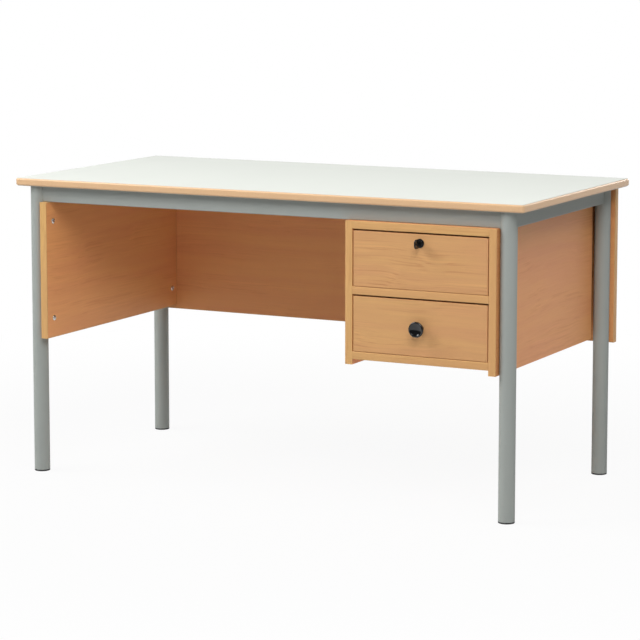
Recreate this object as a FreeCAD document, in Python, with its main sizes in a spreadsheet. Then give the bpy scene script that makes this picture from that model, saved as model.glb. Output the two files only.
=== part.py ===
import FreeCAD, Part
import operator
import os
from types import SimpleNamespace

import Sketcher

# A pedestal desk: welded tube frame, laminated worktop, side and modesty panels, and a hung box
# with two drawers. The upper drawer has a cam lock with its key, the lower one a dished knob.
# Origin on the floor midway between the four legs, +X to the sitter's right, +Y to the back,
# +Z up. Every length is in millimetres.

SIZES = (
    # worktop
    ("top_length", 1400, "worktop from left to right, over its rounded edges"),
    ("top_depth", 700, "worktop from front to back, over its rounded edges"),
    ("desk_height", 760, "floor to the upper face of the worktop"),
    ("core_thickness", 18, "MDF core"),
    ("laminate_thickness", 1, "laminate on the core"),
    ("balancer_thickness", 1, "balancing laminate under the core"),
    ("edge_bulge", 4, "how far the edge stands out of the laminate's outline, and the radius of its rounds"),
    ("top_corner", 4, "plan radius of the laminate's corners"),
    # frame
    ("side_overhang", 50, "leg centres to the ends of the worktop"),
    ("front_overhang", 32, "front leg centres to the front of the worktop"),
    ("rear_overhang", 58, "rear leg centres to the back of the worktop"),
    ("leg_diameter", 40, "outside of the leg tube"),
    ("leg_wall", 2, "wall of the leg tube"),
    ("rail_height", 40, "rail section, upright"),
    ("rail_width", 20, "rail section, across"),
    ("rail_wall", 1.5, "wall of the rail tube"),
    ("rail_round", 2.5, "outer corner radius of the rail tube"),
    ("weld_gap", 0.1, "root gap of a welded joint"),
    # feet
    ("foot_thickness", 4, "foot below the tube's end"),
    ("foot_plug", 25, "length of the foot's plug inside the tube"),
    ("foot_wall", 3, "moulded wall of the foot"),
    ("foot_chamfer", 1, "bevel on the foot's edges"),
    ("push_fit", 0.1, "clearance of a part pushed into a hole"),
    # panels
    ("board", 19, "veneered board"),
    ("edging", 2, "edging band"),
    ("edging_round", 1, "arris radius of the edging band"),
    ("panel_lead", 27, "front edges of the panels ahead of the front leg centres"),
    ("side_panel_height", 350, "side panel, upright"),
    ("modesty_height", 400, "modesty panel, upright"),
    ("modesty_lap", 27, "modesty panel beyond the rear leg centres"),
    # screws and dowels
    ("screw_inset", 50, "panel and hanging screws from a board's upper and lower edges"),
    ("screw_setback", 5, "side panel screws from the legs' axes, towards the desk's middle"),
    ("screw_diameter", 5, "shank of a panel or hanging screw"),
    ("panel_screw_head", 14, "round head of a panel screw"),
    ("panel_screw_rise", 3, "height of that head"),
    ("screw_head", 9, "countersunk head of a hanging screw"),
    ("screw_rim", 0.5, "straight rim of a countersunk head"),
    ("screw_bite", 10, "panel or hanging screw beyond its board"),
    ("screw_fit", 0.2, "clearance round a screw"),
    ("top_screw_head", 10, "pan head of a worktop screw"),
    ("top_screw_rise", 3, "height of that head"),
    ("top_screw_bite", 14, "worktop screw inside the worktop"),
    ("access_hole", 12, "hole under each worktop screw"),
    ("dowel_diameter", 8, "dowel in the pedestal's joints"),
    ("dowel_length", 30, "dowel, end to end"),
    ("dowel_bite", 11, "dowel inside the pedestal's side"),
    # pedestal
    ("pedestal_rear_gap", 39, "space between the pedestal's sides and the modesty panel"),
    ("drawer_width", 350, "drawer front, left to right"),
    ("drawer_height", 134, "drawer front, upright"),
    ("gap_side", 2.5, "gap beside a drawer front"),
    ("gap_above", 4, "gap above a drawer front"),
    ("gap_below", 1, "gap below a drawer front"),
    ("floor_lift", 13, "pedestal's floor above the lower ends of its sides"),
    ("drawer_recess", 1, "drawer fronts behind the pedestal's front edges"),
    ("mid_rail_depth", 80, "rail between the drawers, front to back"),
    ("back_thickness", 4, "pedestal's back"),
    ("back_inset", 8, "pedestal's back ahead of its rear edges"),
    ("back_bite", 5, "back inside its grooves"),
    ("groove_fit", 0.2, "clearance of a board in its groove"),
    ("cross_rail_inset", 60, "cross rail from the pedestal's left face"),
    ("hanger_inset", 100, "front hanging screws from the pedestal's outer faces"),
    # drawer boxes
    ("box_board", 12, "drawer sides and back"),
    ("box_inset", 4, "drawer sides behind the ends of the front"),
    ("box_lift", 8, "drawer sides above the lower edge of the front"),
    ("box_drop", 21, "drawer sides below the upper edge of the front"),
    ("box_rear_gap", 38, "space between a shut drawer and the pedestal's back"),
    ("base_thickness", 4, "drawer base"),
    ("base_lift", 8, "base above the lower edge of the sides"),
    ("base_bite", 5, "base inside its grooves"),
    ("box_dowel_diameter", 6, "dowel in a drawer's corners"),
    ("box_dowel_length", 24, "that dowel, end to end"),
    ("box_dowel_bite", 8, "that dowel inside the drawer's front or side"),
    ("runner_height", 16, "runner, upright"),
    ("runner_bite", 5.5, "runner inside the drawer side's groove"),
    ("runner_clearance", 0.3, "drawer side's groove above and below the runner"),
    ("runner_side_gap", 0.5, "bottom of that groove beside the runner"),
    ("runner_front_gap", 0.3, "runner behind a shut drawer's front, which stops on it"),
    ("runner_rear_gap", 10, "runner ahead of the pedestal's back"),
    ("runner_screw", 4, "shank of a runner screw"),
    ("runner_screw_head", 8, "countersunk head of a runner screw"),
    ("runner_screw_bite", 12, "runner screw inside the pedestal's side"),
    # lock
    ("lock_drop", 21.5, "lock's axis below the upper edge of the drawer front"),
    ("lock_flange_diameter", 22, "visible flange of the lock"),
    ("lock_flange", 2, "flange in front of the drawer front"),
    ("lock_bevel", 0.6, "bevel on the flange and on the barrel's head"),
    ("lock_diameter", 18, "threaded body of the lock"),
    ("lock_length", 26, "threaded body behind the drawer front's face"),
    ("nut_corners", 25, "lock nut across its corners"),
    ("nut_thickness", 4, "lock nut"),
    ("barrel_diameter", 12, "turning barrel"),
    ("barrel_head", 15, "head of the barrel"),
    ("barrel_head_depth", 3, "head inside the housing"),
    ("barrel_proud", 0.5, "head in front of the flange"),
    ("turning_fit", 0.05, "clearance of the barrel in the housing"),
    ("keyway_depth", 20, "keyway from the barrel's face"),
    ("cam_width", 13, "lock cam, across"),
    ("cam_thickness", 2.5, "lock cam"),
    ("cam_bite", 8.5, "raised cam inside the slot of the pedestal's top"),
    ("cam_clearance", 0.3, "cam behind the lock's body"),
    ("cam_spigot", 7, "barrel's spigot through the cam"),
    ("slot_clearance", 2, "slot round the raised cam"),
    ("cam_screw", 3, "shank of the cam screw"),
    ("cam_screw_head", 9, "head of the cam screw"),
    ("cam_screw_rise", 2.5, "height of that head"),
    ("cam_screw_bite", 7, "cam screw inside the barrel"),
    # key
    ("key_reach", 30, "key in front of the drawer front's face"),
    ("key_blade_height", 7.6, "key blade, upright"),
    ("key_blade_thickness", 2.2, "key blade"),
    ("key_fit", 0.3, "clearance of the blade in the keyway"),
    ("key_tang", 10, "blade inside the bow"),
    ("key_notch", 1.1, "radius of the blade's notches"),
    ("key_bow_height", 23, "bow, upright"),
    ("key_bow_length", 24, "bow, front to back"),
    ("key_bow_thickness", 3.6, "bow"),
    ("key_bow_round", 8, "outer corners of the bow"),
    ("key_ring_hole", 4, "hole in the bow"),
    ("key_ring_inset", 6, "that hole from the bow's end"),
    # knob
    ("knob_diameter", 38, "rim of the knob"),
    ("knob_height", 24, "knob in front of the drawer front"),
    ("knob_base", 22, "knob's foot on the drawer front"),
    ("knob_neck", 17, "waist of the knob"),
    ("knob_neck_rise", 5, "waist above the foot"),
    ("knob_rim", 5, "straight side of the rim"),
    ("knob_lip", 1.5, "radius of the rim's edge"),
    ("knob_dish", 4, "depth of the dished face"),
    ("knob_screw", 4, "shank of the knob screw"),
    ("knob_screw_head", 9, "head of the knob screw"),
    ("knob_screw_rise", 2.5, "height of that head"),
    ("knob_screw_bite", 10, "knob screw inside the knob"),
    # cutting
    ("overrun", 5, "how far a cutting solid runs past the face that it cuts"),
)

# Places along a length, as shares of it.
LONG_RAIL_SCREW_SHARES = (-0.32, 0, 0.32)
SIDE_RAIL_SCREW_SHARES = (-0.25, 0.25)
HANGER_SHARES = (-0.25, 0.25)
DOWEL_SHARES = (0.1, 0.5, 0.9)
MID_RAIL_DOWEL_SHARES = (0.25, 0.75)
BOX_DOWEL_SHARES = (0.25, 0.85)
RUNNER_SCREW_SHARES = (0.1, 0.5, 0.9)
KEY_NOTCH_SHARES = (0.15, 0.35, 0.6, 0.8)

# Two coordinates closer than this are one, and an edge with this cosine runs along an axis.
SAME = 1e-6
ALIGNED_SHARE = 0.9

doc = FreeCAD.newDocument("pedestal_desk")
nodes = {}


class Size:
    """A length known as a number and as a formula of the sheet, so that features can be bound to it."""

    def __init__(self, text, number):
        self.text = text
        self.number = number

    def paired(self, sign, other, work):
        other = size(other)
        return Size(f"({self.text} {sign} {other.text})", work(self.number, other.number))

    def __add__(self, other):
        return self.paired("+", other, operator.add)

    def __sub__(self, other):
        return self.paired("-", other, operator.sub)

    def __mul__(self, other):
        return self.paired("*", other, operator.mul)

    def __truediv__(self, other):
        return self.paired("/", other, operator.truediv)

    def __neg__(self):
        return size(0) - self

    def root(self):
        return Size(f"sqrt({self.text})", self.number**0.5)


def size(item):
    """A plain number as a Size, and a Size as it is."""
    if isinstance(item, Size):
        return item
    return Size(f"({item})", float(item))


def size_sheet():
    """Writes the driving sizes into a sheet and returns them under their names."""
    sheet = doc.addObject("Spreadsheet::Sheet", "sizes")
    for row, (name, number, words) in enumerate(SIZES, 1):
        sheet.set(f"A{row}", words)
        sheet.set(f"B{row}", str(number))
        sheet.setAlias(f"B{row}", name)
    doc.recompute()
    names = [name for name, number, words in SIZES]
    return SimpleNamespace(**{name: Size(f"sizes.{name}", float(sheet.get(name))) for name in names})


s = size_sheet()
zero = size(0)


# Directions: a turned piece or a cylinder points its own Z axis this way.
def facing(x, y, z):
    return FreeCAD.Rotation(FreeCAD.Vector(0, 0, 1), FreeCAD.Vector(x, y, z))


UP = facing(0, 0, 1)
RIGHT = facing(1, 0, 0)
LEFT = facing(-1, 0, 0)
FRONT = facing(0, -1, 0)
BACK = facing(0, 1, 0)
# A plan drawn in X and Y stands up to face +X, or to face the front.
SIDEWAYS = FreeCAD.Rotation(FreeCAD.Vector(1, 1, 1), 120)
FORWARDS = FreeCAD.Rotation(FreeCAD.Vector(1, 0, 0), 90)


def bind(thing, slot, length):
    thing.setExpression(slot, size(length).text)


def place(thing, at, turn=UP):
    thing.Placement = FreeCAD.Placement(FreeCAD.Vector(), turn)
    for axis, length in zip("xyz", at):
        bind(thing, f"Placement.Base.{axis}", length)


def keep(label, thing):
    """Gives a finished sub-part the name of its node."""
    thing.Label = label
    nodes[label] = thing
    return thing


# Part solids
def block(label, low, high):
    """A box between its low and high corners."""
    new = doc.addObject("Part::Box", label)
    for slot, start, end in zip(("Length", "Width", "Height"), low, high):
        bind(new, slot, size(end) - start)
    place(new, low)
    return new


def rod(label, radius, length, at, turn):
    """A cylinder that starts at a place and runs the way it is turned."""
    new = doc.addObject("Part::Cylinder", label)
    bind(new, "Radius", radius)
    bind(new, "Height", length)
    place(new, at, turn)
    return new


def group(label, members):
    """Separate solids under one name."""
    new = doc.addObject("Part::Compound", label)
    new.Links = members
    return new


def cut(label, base, tools):
    new = doc.addObject("Part::Cut", label)
    new.Base = base
    new.Tool = group(f"{label}_cutters", tools)
    return new


# Sketched bodies
def body(label, at, turn=UP):
    new = doc.addObject("PartDesign::Body", label)
    place(new, at, turn)
    return new


def sketch(owner, role="XY_Plane"):
    new = owner.newObject("Sketcher::SketchObject", f"{owner.Name}_sketch")
    plane = next(item for item in owner.Origin.OriginFeatures if item.Role == role)
    new.AttachmentSupport = [(plane, "")]
    new.MapMode = "FlatFace"
    return new


def vector(point):
    return FreeCAD.Vector(point[0].number, point[1].number, 0)


def fix_point(drawing, edge, end, point):
    """Binds one end of a sketch edge to a place measured from the sketch's origin."""
    for length, kind, axis in zip(point, ("DistanceX", "DistanceY"), (-2, -1)):
        if length is zero:
            drawing.addConstraint(Sketcher.Constraint("PointOnObject", edge, end, axis))
        else:
            number = drawing.addConstraint(Sketcher.Constraint(kind, -1, 1, edge, end, length.number))
            bind(drawing, f"Constraints[{number}]", length)


def arc_middle(start, end, radius, side):
    """The middle of an arc from start to end that bulges to the left (+1) or right (-1) of the chord."""
    chord = end - start
    sagitta = radius - (radius**2 - chord.Length**2 / 4) ** 0.5
    out = FreeCAD.Vector(-chord.y, chord.x, 0).normalize()
    return (start + end) / 2 + out * (sagitta * side)


def outline(drawing, points, arcs=None):
    """A closed outline through points. arcs gives the edges, by the number of their first point,
    that are round, each with its radius and the side that it bulges to."""
    arcs = arcs or {}
    first = drawing.GeometryCount
    count = len(points)
    starts = []
    for index, point in enumerate(points):
        begin = vector(point)
        end = vector(points[(index + 1) % count])
        if index in arcs:
            radius, side = arcs[index]
            edge = drawing.addGeometry(Part.Arc(begin, arc_middle(begin, end, radius.number, side), end))
            number = drawing.addConstraint(Sketcher.Constraint("Radius", edge, radius.number))
            bind(drawing, f"Constraints[{number}]", radius)
        else:
            edge = drawing.addGeometry(Part.LineSegment(begin, end))
        near_begin = drawing.getPoint(edge, 1).distanceToPoint(begin)
        near_end = drawing.getPoint(edge, 1).distanceToPoint(end)
        starts.append(1 if near_begin < near_end else 2)
    for index, point in enumerate(points):
        following = (index + 1) % count
        link = (first + index, 3 - starts[index], first + following, starts[following])
        drawing.addConstraint(Sketcher.Constraint("Coincident", *link))
        fix_point(drawing, first + index, starts[index], point)


def rectangle(drawing, low, high):
    outline(drawing, [low, (high[0], low[1]), high, (low[0], high[1])])


def circle(drawing, radius):
    edge = drawing.addGeometry(Part.Circle(FreeCAD.Vector(), FreeCAD.Vector(0, 0, 1), radius.number))
    drawing.addConstraint(Sketcher.Constraint("Coincident", edge, 3, -1, 1))
    number = drawing.addConstraint(Sketcher.Constraint("Radius", edge, radius.number))
    bind(drawing, f"Constraints[{number}]", radius)


def pad(owner, drawing, length):
    new = owner.newObject("PartDesign::Pad", f"{owner.Name}_pad")
    new.Profile = drawing
    bind(new, "Length", length)
    doc.recompute()
    return new


def rounded(owner, base, radius, wanted):
    """Rounds the edges of a feature whose middle and direction a test accepts."""
    names = []
    for number, edge in enumerate(base.Shape.Edges, 1):
        middle = edge.valueAt((edge.FirstParameter + edge.LastParameter) / 2)
        direction = edge.tangentAt(edge.FirstParameter)
        if wanted(middle, direction):
            names.append(f"Edge{number}")
    new = owner.newObject("PartDesign::Fillet", f"{owner.Name}_round")
    new.Base = (base, names)
    bind(new, "Radius", radius)
    doc.recompute()
    return new


def along(direction, axis):
    """True where an edge runs along an axis."""
    return abs(getattr(direction, axis)) > ALIGNED_SHARE


def level(number, *lengths):
    """True where a coordinate equals one of some lengths."""
    return any(abs(number - size(length).number) < SAME for length in lengths)


def turned(label, at, turn, points, arcs=None):
    """A piece turned about its own Z axis from half its outline, given as radius and height."""
    owner = body(label, at, turn)
    drawing = sketch(owner, "XZ_Plane")
    outline(drawing, points, arcs)
    spin = owner.newObject("PartDesign::Revolution", f"{label}_spin")
    spin.Profile = drawing
    spin.ReferenceAxis = (drawing, ["V_Axis"])
    spin.Angle = 360
    return owner


# Fasteners: each points its own Z axis the way it is driven, with the head's seat or face at zero.
def sunk_screw(label, at, turn, kind):
    """A countersunk screw whose head lies flush."""
    points = [
        (zero, zero),
        (kind.head, zero),
        (kind.head, s.screw_rim),
        (kind.shank, s.screw_rim + kind.head - kind.shank),
        (kind.shank, kind.length - kind.shank),
        (zero, kind.length),
    ]
    return turned(label, at, turn, points)


def sunk_hole(label, at, turn, kind):
    """The hole for that screw, wider and longer by the clearance."""
    points = [
        (zero, -s.overrun),
        (kind.head + s.screw_fit, -s.overrun),
        (kind.head + s.screw_fit, s.screw_rim),
        (kind.shank + s.screw_fit, s.screw_rim + kind.head - kind.shank),
        (kind.shank + s.screw_fit, kind.length + s.screw_fit),
        (zero, kind.length + s.screw_fit),
    ]
    return turned(label, at, turn, points)


def pan_screw(label, at, turn, kind):
    """A screw whose flat head stands on its seat."""
    points = [
        (zero, -kind.rise),
        (kind.head - kind.rise / 2, -kind.rise),
        (kind.head, -kind.rise / 2),
        (kind.head, zero),
        (kind.shank, zero),
        (kind.shank, kind.length - kind.shank),
        (zero, kind.length),
    ]
    return turned(label, at, turn, points)


def pan_hole(label, at, turn, kind):
    """The hole for that screw's shank, wider and longer by the clearance."""
    radius = kind.shank + s.screw_fit
    end = kind.length + s.screw_fit
    points = [(zero, -s.overrun), (radius, -s.overrun), (radius, end), (zero, end)]
    return turned(label, at, turn, points)


def dowel_with_hole(label, radius, long, at, turn, direction):
    """A dowel, and the slightly wider and longer hole that it fills in the two boards it joins."""
    dowel = rod(label, radius, long, at, turn)
    start = [length - s.push_fit * step for length, step in zip(at, direction)]
    hole = rod(f"{label}_hole", radius + s.push_fit, long + s.push_fit * 2, start, turn)
    return dowel, hole


PANEL_SCREW = SimpleNamespace(
    head=s.panel_screw_head / 2,
    rise=s.panel_screw_rise,
    shank=s.screw_diameter / 2,
    length=s.board + s.screw_bite,
)
HANGER_SCREW = SimpleNamespace(
    head=s.screw_head / 2, shank=s.screw_diameter / 2, length=s.board + s.screw_bite
)
RUNNER_SCREW = SimpleNamespace(
    head=s.runner_screw_head / 2,
    shank=s.runner_screw / 2,
    length=s.gap_side + s.box_inset + s.runner_bite + s.runner_screw_bite,
)
TOP_SCREW = SimpleNamespace(
    head=s.top_screw_head / 2,
    rise=s.top_screw_rise,
    shank=s.screw_diameter / 2,
    length=s.rail_wall + s.top_screw_bite,
)
CAM_SCREW = SimpleNamespace(
    head=s.cam_screw_head / 2,
    rise=s.cam_screw_rise,
    shank=s.cam_screw / 2,
    length=s.cam_screw_bite,
)
KNOB_SCREW = SimpleNamespace(
    head=s.knob_screw_head / 2,
    rise=s.knob_screw_rise,
    shank=s.knob_screw / 2,
    length=s.board + s.knob_screw_bite,
)


def screw_set(label, places, kind, screw, hole):
    """A node of like screws, and the holes that they need."""
    screws = []
    holes = []
    for number, (at, turn) in enumerate(places, 1):
        screws.append(screw(f"{label}_{number}", at, turn, kind))
        holes.append(hole(f"{label}_hole_{number}", at, turn, kind))
    keep(label, group(f"{label}_set", screws))
    return holes


# Places worked out from the sizes
leg_r = s.leg_diameter / 2
leg_spacing_x = s.top_length - s.side_overhang * 2
leg_spacing_y = s.top_depth - s.front_overhang - s.rear_overhang
leg_x = leg_spacing_x / 2
leg_y = leg_spacing_y / 2
LEGS = {
    "front_left": (-leg_x, -leg_y),
    "front_right": (leg_x, -leg_y),
    "rear_left": (-leg_x, leg_y),
    "rear_right": (leg_x, leg_y),
}
core_low = s.desk_height - s.laminate_thickness - s.core_thickness
top_under = core_low - s.balancer_thickness
rail_under = top_under - s.rail_height
top_front = -leg_y - s.front_overhang
top_middle_y = top_front + s.top_depth / 2

panel_front = -leg_y - s.panel_lead
modesty_front = leg_y + leg_r
modesty_rear = modesty_front + s.board
side_panel_outer = -leg_x + leg_r
side_panel_inner = side_panel_outer + s.board

opening_height = s.gap_below + s.drawer_height + s.gap_above
opening_width = s.gap_side * 2 + s.drawer_width
pedestal_right = leg_x - leg_r
pedestal_left = pedestal_right - s.board * 2 - opening_width
pedestal_x = (pedestal_left + pedestal_right) / 2
inner_left = pedestal_left + s.board
inner_right = pedestal_right - s.board
pedestal_front = panel_front
pedestal_rear = modesty_front - s.pedestal_rear_gap
back_rear = pedestal_rear - s.back_inset
back_front = back_rear - s.back_thickness
top_board_low = rail_under - s.board
upper_low = top_board_low - opening_height
mid_rail_low = upper_low - s.board
lower_low = mid_rail_low - opening_height
floor_low = lower_low - s.board
pedestal_low = floor_low - s.floor_lift
cross_rail_x = pedestal_left + s.cross_rail_inset

drawer_face = pedestal_front + s.drawer_recess
drawer_rear = drawer_face + s.board
box_rear = back_front - s.box_rear_gap
box_half = s.drawer_width / 2 - s.box_inset
box_height = s.drawer_height - s.box_lift - s.box_drop
DRAWERS = {"upper": upper_low + s.gap_below, "lower": lower_low + s.gap_below}

lock_z = DRAWERS["upper"] + s.drawer_height - s.lock_drop
cam_front = drawer_face + s.lock_length + s.cam_clearance
cam_rear = cam_front + s.cam_thickness
cam_rise = s.lock_drop + s.gap_above
cam_reach = cam_rise + s.cam_bite
knob_z = DRAWERS["lower"] + s.drawer_height / 2


# Frame
def tube_leg(name, holes):
    """A round tube leg that stands on its foot, drilled for the panel screws."""
    x, y = LEGS[name]
    owner = body(f"{name}_tube", (x, y, s.foot_thickness))
    drawing = sketch(owner)
    circle(drawing, leg_r)
    circle(drawing, leg_r - s.leg_wall)
    pad(owner, drawing, top_under - s.foot_thickness)
    keep(f"{name}_leg", cut(f"{name}_drilled", owner, holes))


def foot(name):
    """A moulded foot: a bevelled disc under the tube and a hollow plug inside it."""
    x, y = LEGS[name]
    plug = leg_r - s.leg_wall - s.push_fit
    end = s.foot_thickness + s.foot_plug
    points = [
        (zero, zero),
        (leg_r - s.foot_chamfer, zero),
        (leg_r, s.foot_chamfer),
        (leg_r, s.foot_thickness),
        (plug, s.foot_thickness),
        (plug, end - s.foot_chamfer),
        (plug - s.foot_chamfer, end),
        (plug - s.foot_wall, end),
        (plug - s.foot_wall, s.foot_thickness + s.foot_wall),
        (zero, s.foot_thickness + s.foot_wall),
    ]
    keep(f"{name}_foot", turned(f"{name}_foot", (x, y, zero), UP, points))


def rail_tube(label, corner, turn, length):
    """A length of rectangular tube with rounded outer corners."""
    owner = body(label, corner, turn)
    drawing = sketch(owner)
    rectangle(drawing, (zero, zero), (s.rail_width, s.rail_height))
    inside = (s.rail_width - s.rail_wall, s.rail_height - s.rail_wall)
    rectangle(drawing, (s.rail_wall, s.rail_wall), inside)
    base = pad(owner, drawing, length)

    def outer(middle, direction):
        on_side = level(middle.x, 0, s.rail_width)
        return along(direction, "z") and on_side and level(middle.y, 0, s.rail_height)

    rounded(owner, base, s.rail_round, outer)
    return owner


def leg_cutter(label, name):
    """The space that a leg and its weld take out of a rail's end."""
    x, y = LEGS[name]
    height = s.rail_height + s.overrun * 2
    return rod(label, leg_r + s.weld_gap, height, (x, y, rail_under - s.overrun), UP)


def rail_holes(label, places):
    """A screw hole in the upper wall of a rail and a wider access hole below it, at each place."""
    holes = []
    for number, (x, y) in enumerate(places, 1):
        upper = (x, y, top_under - s.rail_wall * 2)
        lower = (x, y, rail_under - s.overrun)
        shank = TOP_SCREW.shank + s.screw_fit
        holes.append(rod(f"{label}_shank_{number}", shank, s.rail_wall * 2 + s.overrun, upper, UP))
        access = s.overrun + s.rail_wall * 2
        holes.append(rod(f"{label}_access_{number}", s.access_hole / 2, access, lower, UP))
    return holes


def long_rail(name, hanger_holes):
    """The front or rear rail, saddle-cut to its two legs."""
    y = LEGS[f"{name}_left"][1]
    corner = (-leg_x, y - s.rail_width / 2, rail_under)
    tube = rail_tube(f"{name}_rail_tube", corner, SIDEWAYS, leg_spacing_x)
    places = [(leg_spacing_x * share, y) for share in LONG_RAIL_SCREW_SHARES]
    tools = [leg_cutter(f"{name}_rail_{side}_cope", f"{name}_{side}") for side in ("left", "right")]
    tools += rail_holes(f"{name}_rail", places) + hanger_holes
    keep(f"{name}_rail", cut(f"{name}_rail_cut", tube, tools))
    return places


def side_rail(name):
    """The left or right rail, saddle-cut to its two legs."""
    x = LEGS[f"front_{name}"][0]
    corner = (x - s.rail_width / 2, leg_y, rail_under)
    tube = rail_tube(f"{name}_rail_tube", corner, FORWARDS, leg_spacing_y)
    places = [(x, leg_spacing_y * share) for share in SIDE_RAIL_SCREW_SHARES]
    tools = [leg_cutter(f"{name}_rail_{end}_cope", f"{end}_{name}") for end in ("front", "rear")]
    tools += rail_holes(f"{name}_rail", places)
    keep(f"{name}_rail", cut(f"{name}_rail_cut", tube, tools))
    return places


def cross_rail(hanger_holes):
    """The rail between the front and rear rails that carries the pedestal."""
    end = leg_y - s.rail_width / 2 - s.weld_gap
    corner = (cross_rail_x - s.rail_width / 2, end, rail_under)
    tube = rail_tube("pedestal_rail_tube", corner, FORWARDS, end * 2)
    places = [(cross_rail_x, zero)]
    tools = rail_holes("pedestal_rail", places) + hanger_holes
    keep("pedestal_rail", cut("pedestal_rail_cut", tube, tools))
    return places


# Worktop
def slab(label, low, thickness):
    """A sheet with the laminate's outline."""
    half_length = s.top_length / 2 - s.edge_bulge
    half_depth = s.top_depth / 2 - s.edge_bulge
    owner = body(label, (zero, top_middle_y, low))
    drawing = sketch(owner)
    rectangle(drawing, (-half_length, -half_depth), (half_length, half_depth))
    base = pad(owner, drawing, thickness)
    rounded(owner, base, s.top_corner, lambda middle, direction: along(direction, "z"))
    return owner


def soft_edge(owner):
    """An upright edge with a quarter round above and below, carried round the slab's outline."""
    base = owner.Tip
    edge_x = s.top_length / 2 - s.edge_bulge
    drawing = sketch(owner, "XZ_Plane")
    corners = [
        (edge_x, zero),
        (s.top_length / 2, s.edge_bulge),
        (s.top_length / 2, s.core_thickness - s.edge_bulge),
        (edge_x, s.core_thickness),
    ]
    outline(drawing, corners, {0: (s.edge_bulge, -1), 2: (s.edge_bulge, -1)})
    path = [
        f"Edge{number}"
        for number, edge in enumerate(base.Shape.Edges, 1)
        if level(edge.BoundBox.ZMax, 0)
    ]
    pipe = owner.newObject("PartDesign::AdditivePipe", f"{owner.Name}_nose")
    pipe.Profile = drawing
    pipe.Spine = (base, path)


def worktop(places):
    """Core, laminate and balancer, with the screws that hold them to the rails."""
    screws = []
    holes = []
    for number, (x, y) in enumerate(places, 1):
        seat = (x, y, top_under - s.rail_wall)
        screws.append(pan_screw(f"worktop_screw_{number}", seat, UP, TOP_SCREW))
        start = (x, y, top_under - s.overrun)
        depth = s.overrun + s.top_screw_bite + s.screw_fit
        holes.append(rod(f"worktop_pilot_{number}", TOP_SCREW.shank + s.screw_fit, depth, start, UP))
    keep("worktop_screws", group("worktop_screw_set", screws))
    core = slab("worktop_core_slab", core_low, s.core_thickness)
    soft_edge(core)
    keep("worktop_core", cut("worktop_core_drilled", core, holes))
    keep("worktop_laminate", slab("worktop_laminate", core_low + s.core_thickness, s.laminate_thickness))
    balancer = slab("worktop_balancer_sheet", top_under, s.balancer_thickness)
    keep("worktop_balancer", cut("worktop_balancer_drilled", balancer, holes))


# Boards and their edging
def edging_ring(label, corner, turn, width, height):
    """A band round the four edges of a board, with softened arrises."""
    owner = body(label, corner, turn)
    drawing = sketch(owner)
    rectangle(drawing, (zero, zero), (width, height))
    rectangle(drawing, (s.edging, s.edging), (width - s.edging, height - s.edging))
    base = pad(owner, drawing, s.board)

    def outer(middle, direction):
        on_outline = level(middle.x, 0, width) or level(middle.y, 0, height)
        return on_outline and not along(direction, "z")

    rounded(owner, base, s.edging_round, outer)
    keep(label, owner)


def edging_strip(label, corner, width, height):
    """A band on one front edge of the pedestal, with softened arrises."""
    owner = body(label, corner, FORWARDS)
    drawing = sketch(owner)
    rectangle(drawing, (zero, zero), (width, height))
    base = pad(owner, drawing, s.edging)
    rounded(owner, base, s.edging_round, lambda middle, direction: level(middle.z, s.edging))
    return owner


def side_panel():
    """The left panel, screwed from inside to the two left legs. Returns its screw holes, front first."""
    low = rail_under - s.side_panel_height
    heights = (low + s.screw_inset, rail_under - s.screw_inset)
    rear = leg_y - s.screw_setback
    places = [((side_panel_inner, y, z), LEFT) for y in (-rear, rear) for z in heights]
    holes = screw_set("side_panel_screws", places, PANEL_SCREW, pan_screw, pan_hole)
    inner_low = (side_panel_outer, panel_front + s.edging, low + s.edging)
    inner_high = (side_panel_inner, modesty_front - s.edging, rail_under - s.edging)
    board = block("side_panel_board", inner_low, inner_high)
    keep("side_panel", cut("side_panel_drilled", board, holes))
    corner = (side_panel_outer, panel_front, low)
    edging_ring("side_panel_edging", corner, SIDEWAYS, modesty_front - panel_front, s.side_panel_height)
    return holes[:2], holes[2:]


def modesty_panel():
    """The panel behind the rear legs, screwed to them from the back. Returns its screw holes, left first."""
    low = top_under - s.modesty_height
    half = leg_x + s.modesty_lap
    heights = (low + s.screw_inset, top_under - s.screw_inset)
    places = [((x, modesty_rear, z), FRONT) for x in (-leg_x, leg_x) for z in heights]
    holes = screw_set("modesty_panel_screws", places, PANEL_SCREW, pan_screw, pan_hole)
    inner_low = (-half + s.edging, modesty_front, low + s.edging)
    inner_high = (half - s.edging, modesty_rear, top_under - s.edging)
    board = block("modesty_panel_board", inner_low, inner_high)
    keep("modesty_panel", cut("modesty_panel_drilled", board, holes))
    corner = (-half, modesty_rear, low)
    edging_ring("modesty_panel_edging", corner, FORWARDS, half * 2, s.modesty_height)
    return holes[:2], holes[2:]


# Pedestal
def pedestal_hangers():
    """The screws that hang the pedestal: on the front right leg, the front rail and the cross rail."""
    heights = (pedestal_low + s.screw_inset, rail_under - s.screw_inset)
    on_leg = [((inner_right, -leg_y, z), RIGHT) for z in heights]
    front_x = (pedestal_left + s.hanger_inset, pedestal_right - s.hanger_inset)
    on_front_rail = [((x, -leg_y, top_board_low), UP) for x in front_x]
    on_cross_rail = [
        ((cross_rail_x, leg_spacing_y * share, top_board_low), UP) for share in HANGER_SHARES
    ]
    places = on_leg + on_front_rail + on_cross_rail
    holes = screw_set("pedestal_screws", places, HANGER_SCREW, sunk_screw, sunk_hole)
    return holes[:2], holes[2:4], holes[4:]


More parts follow.
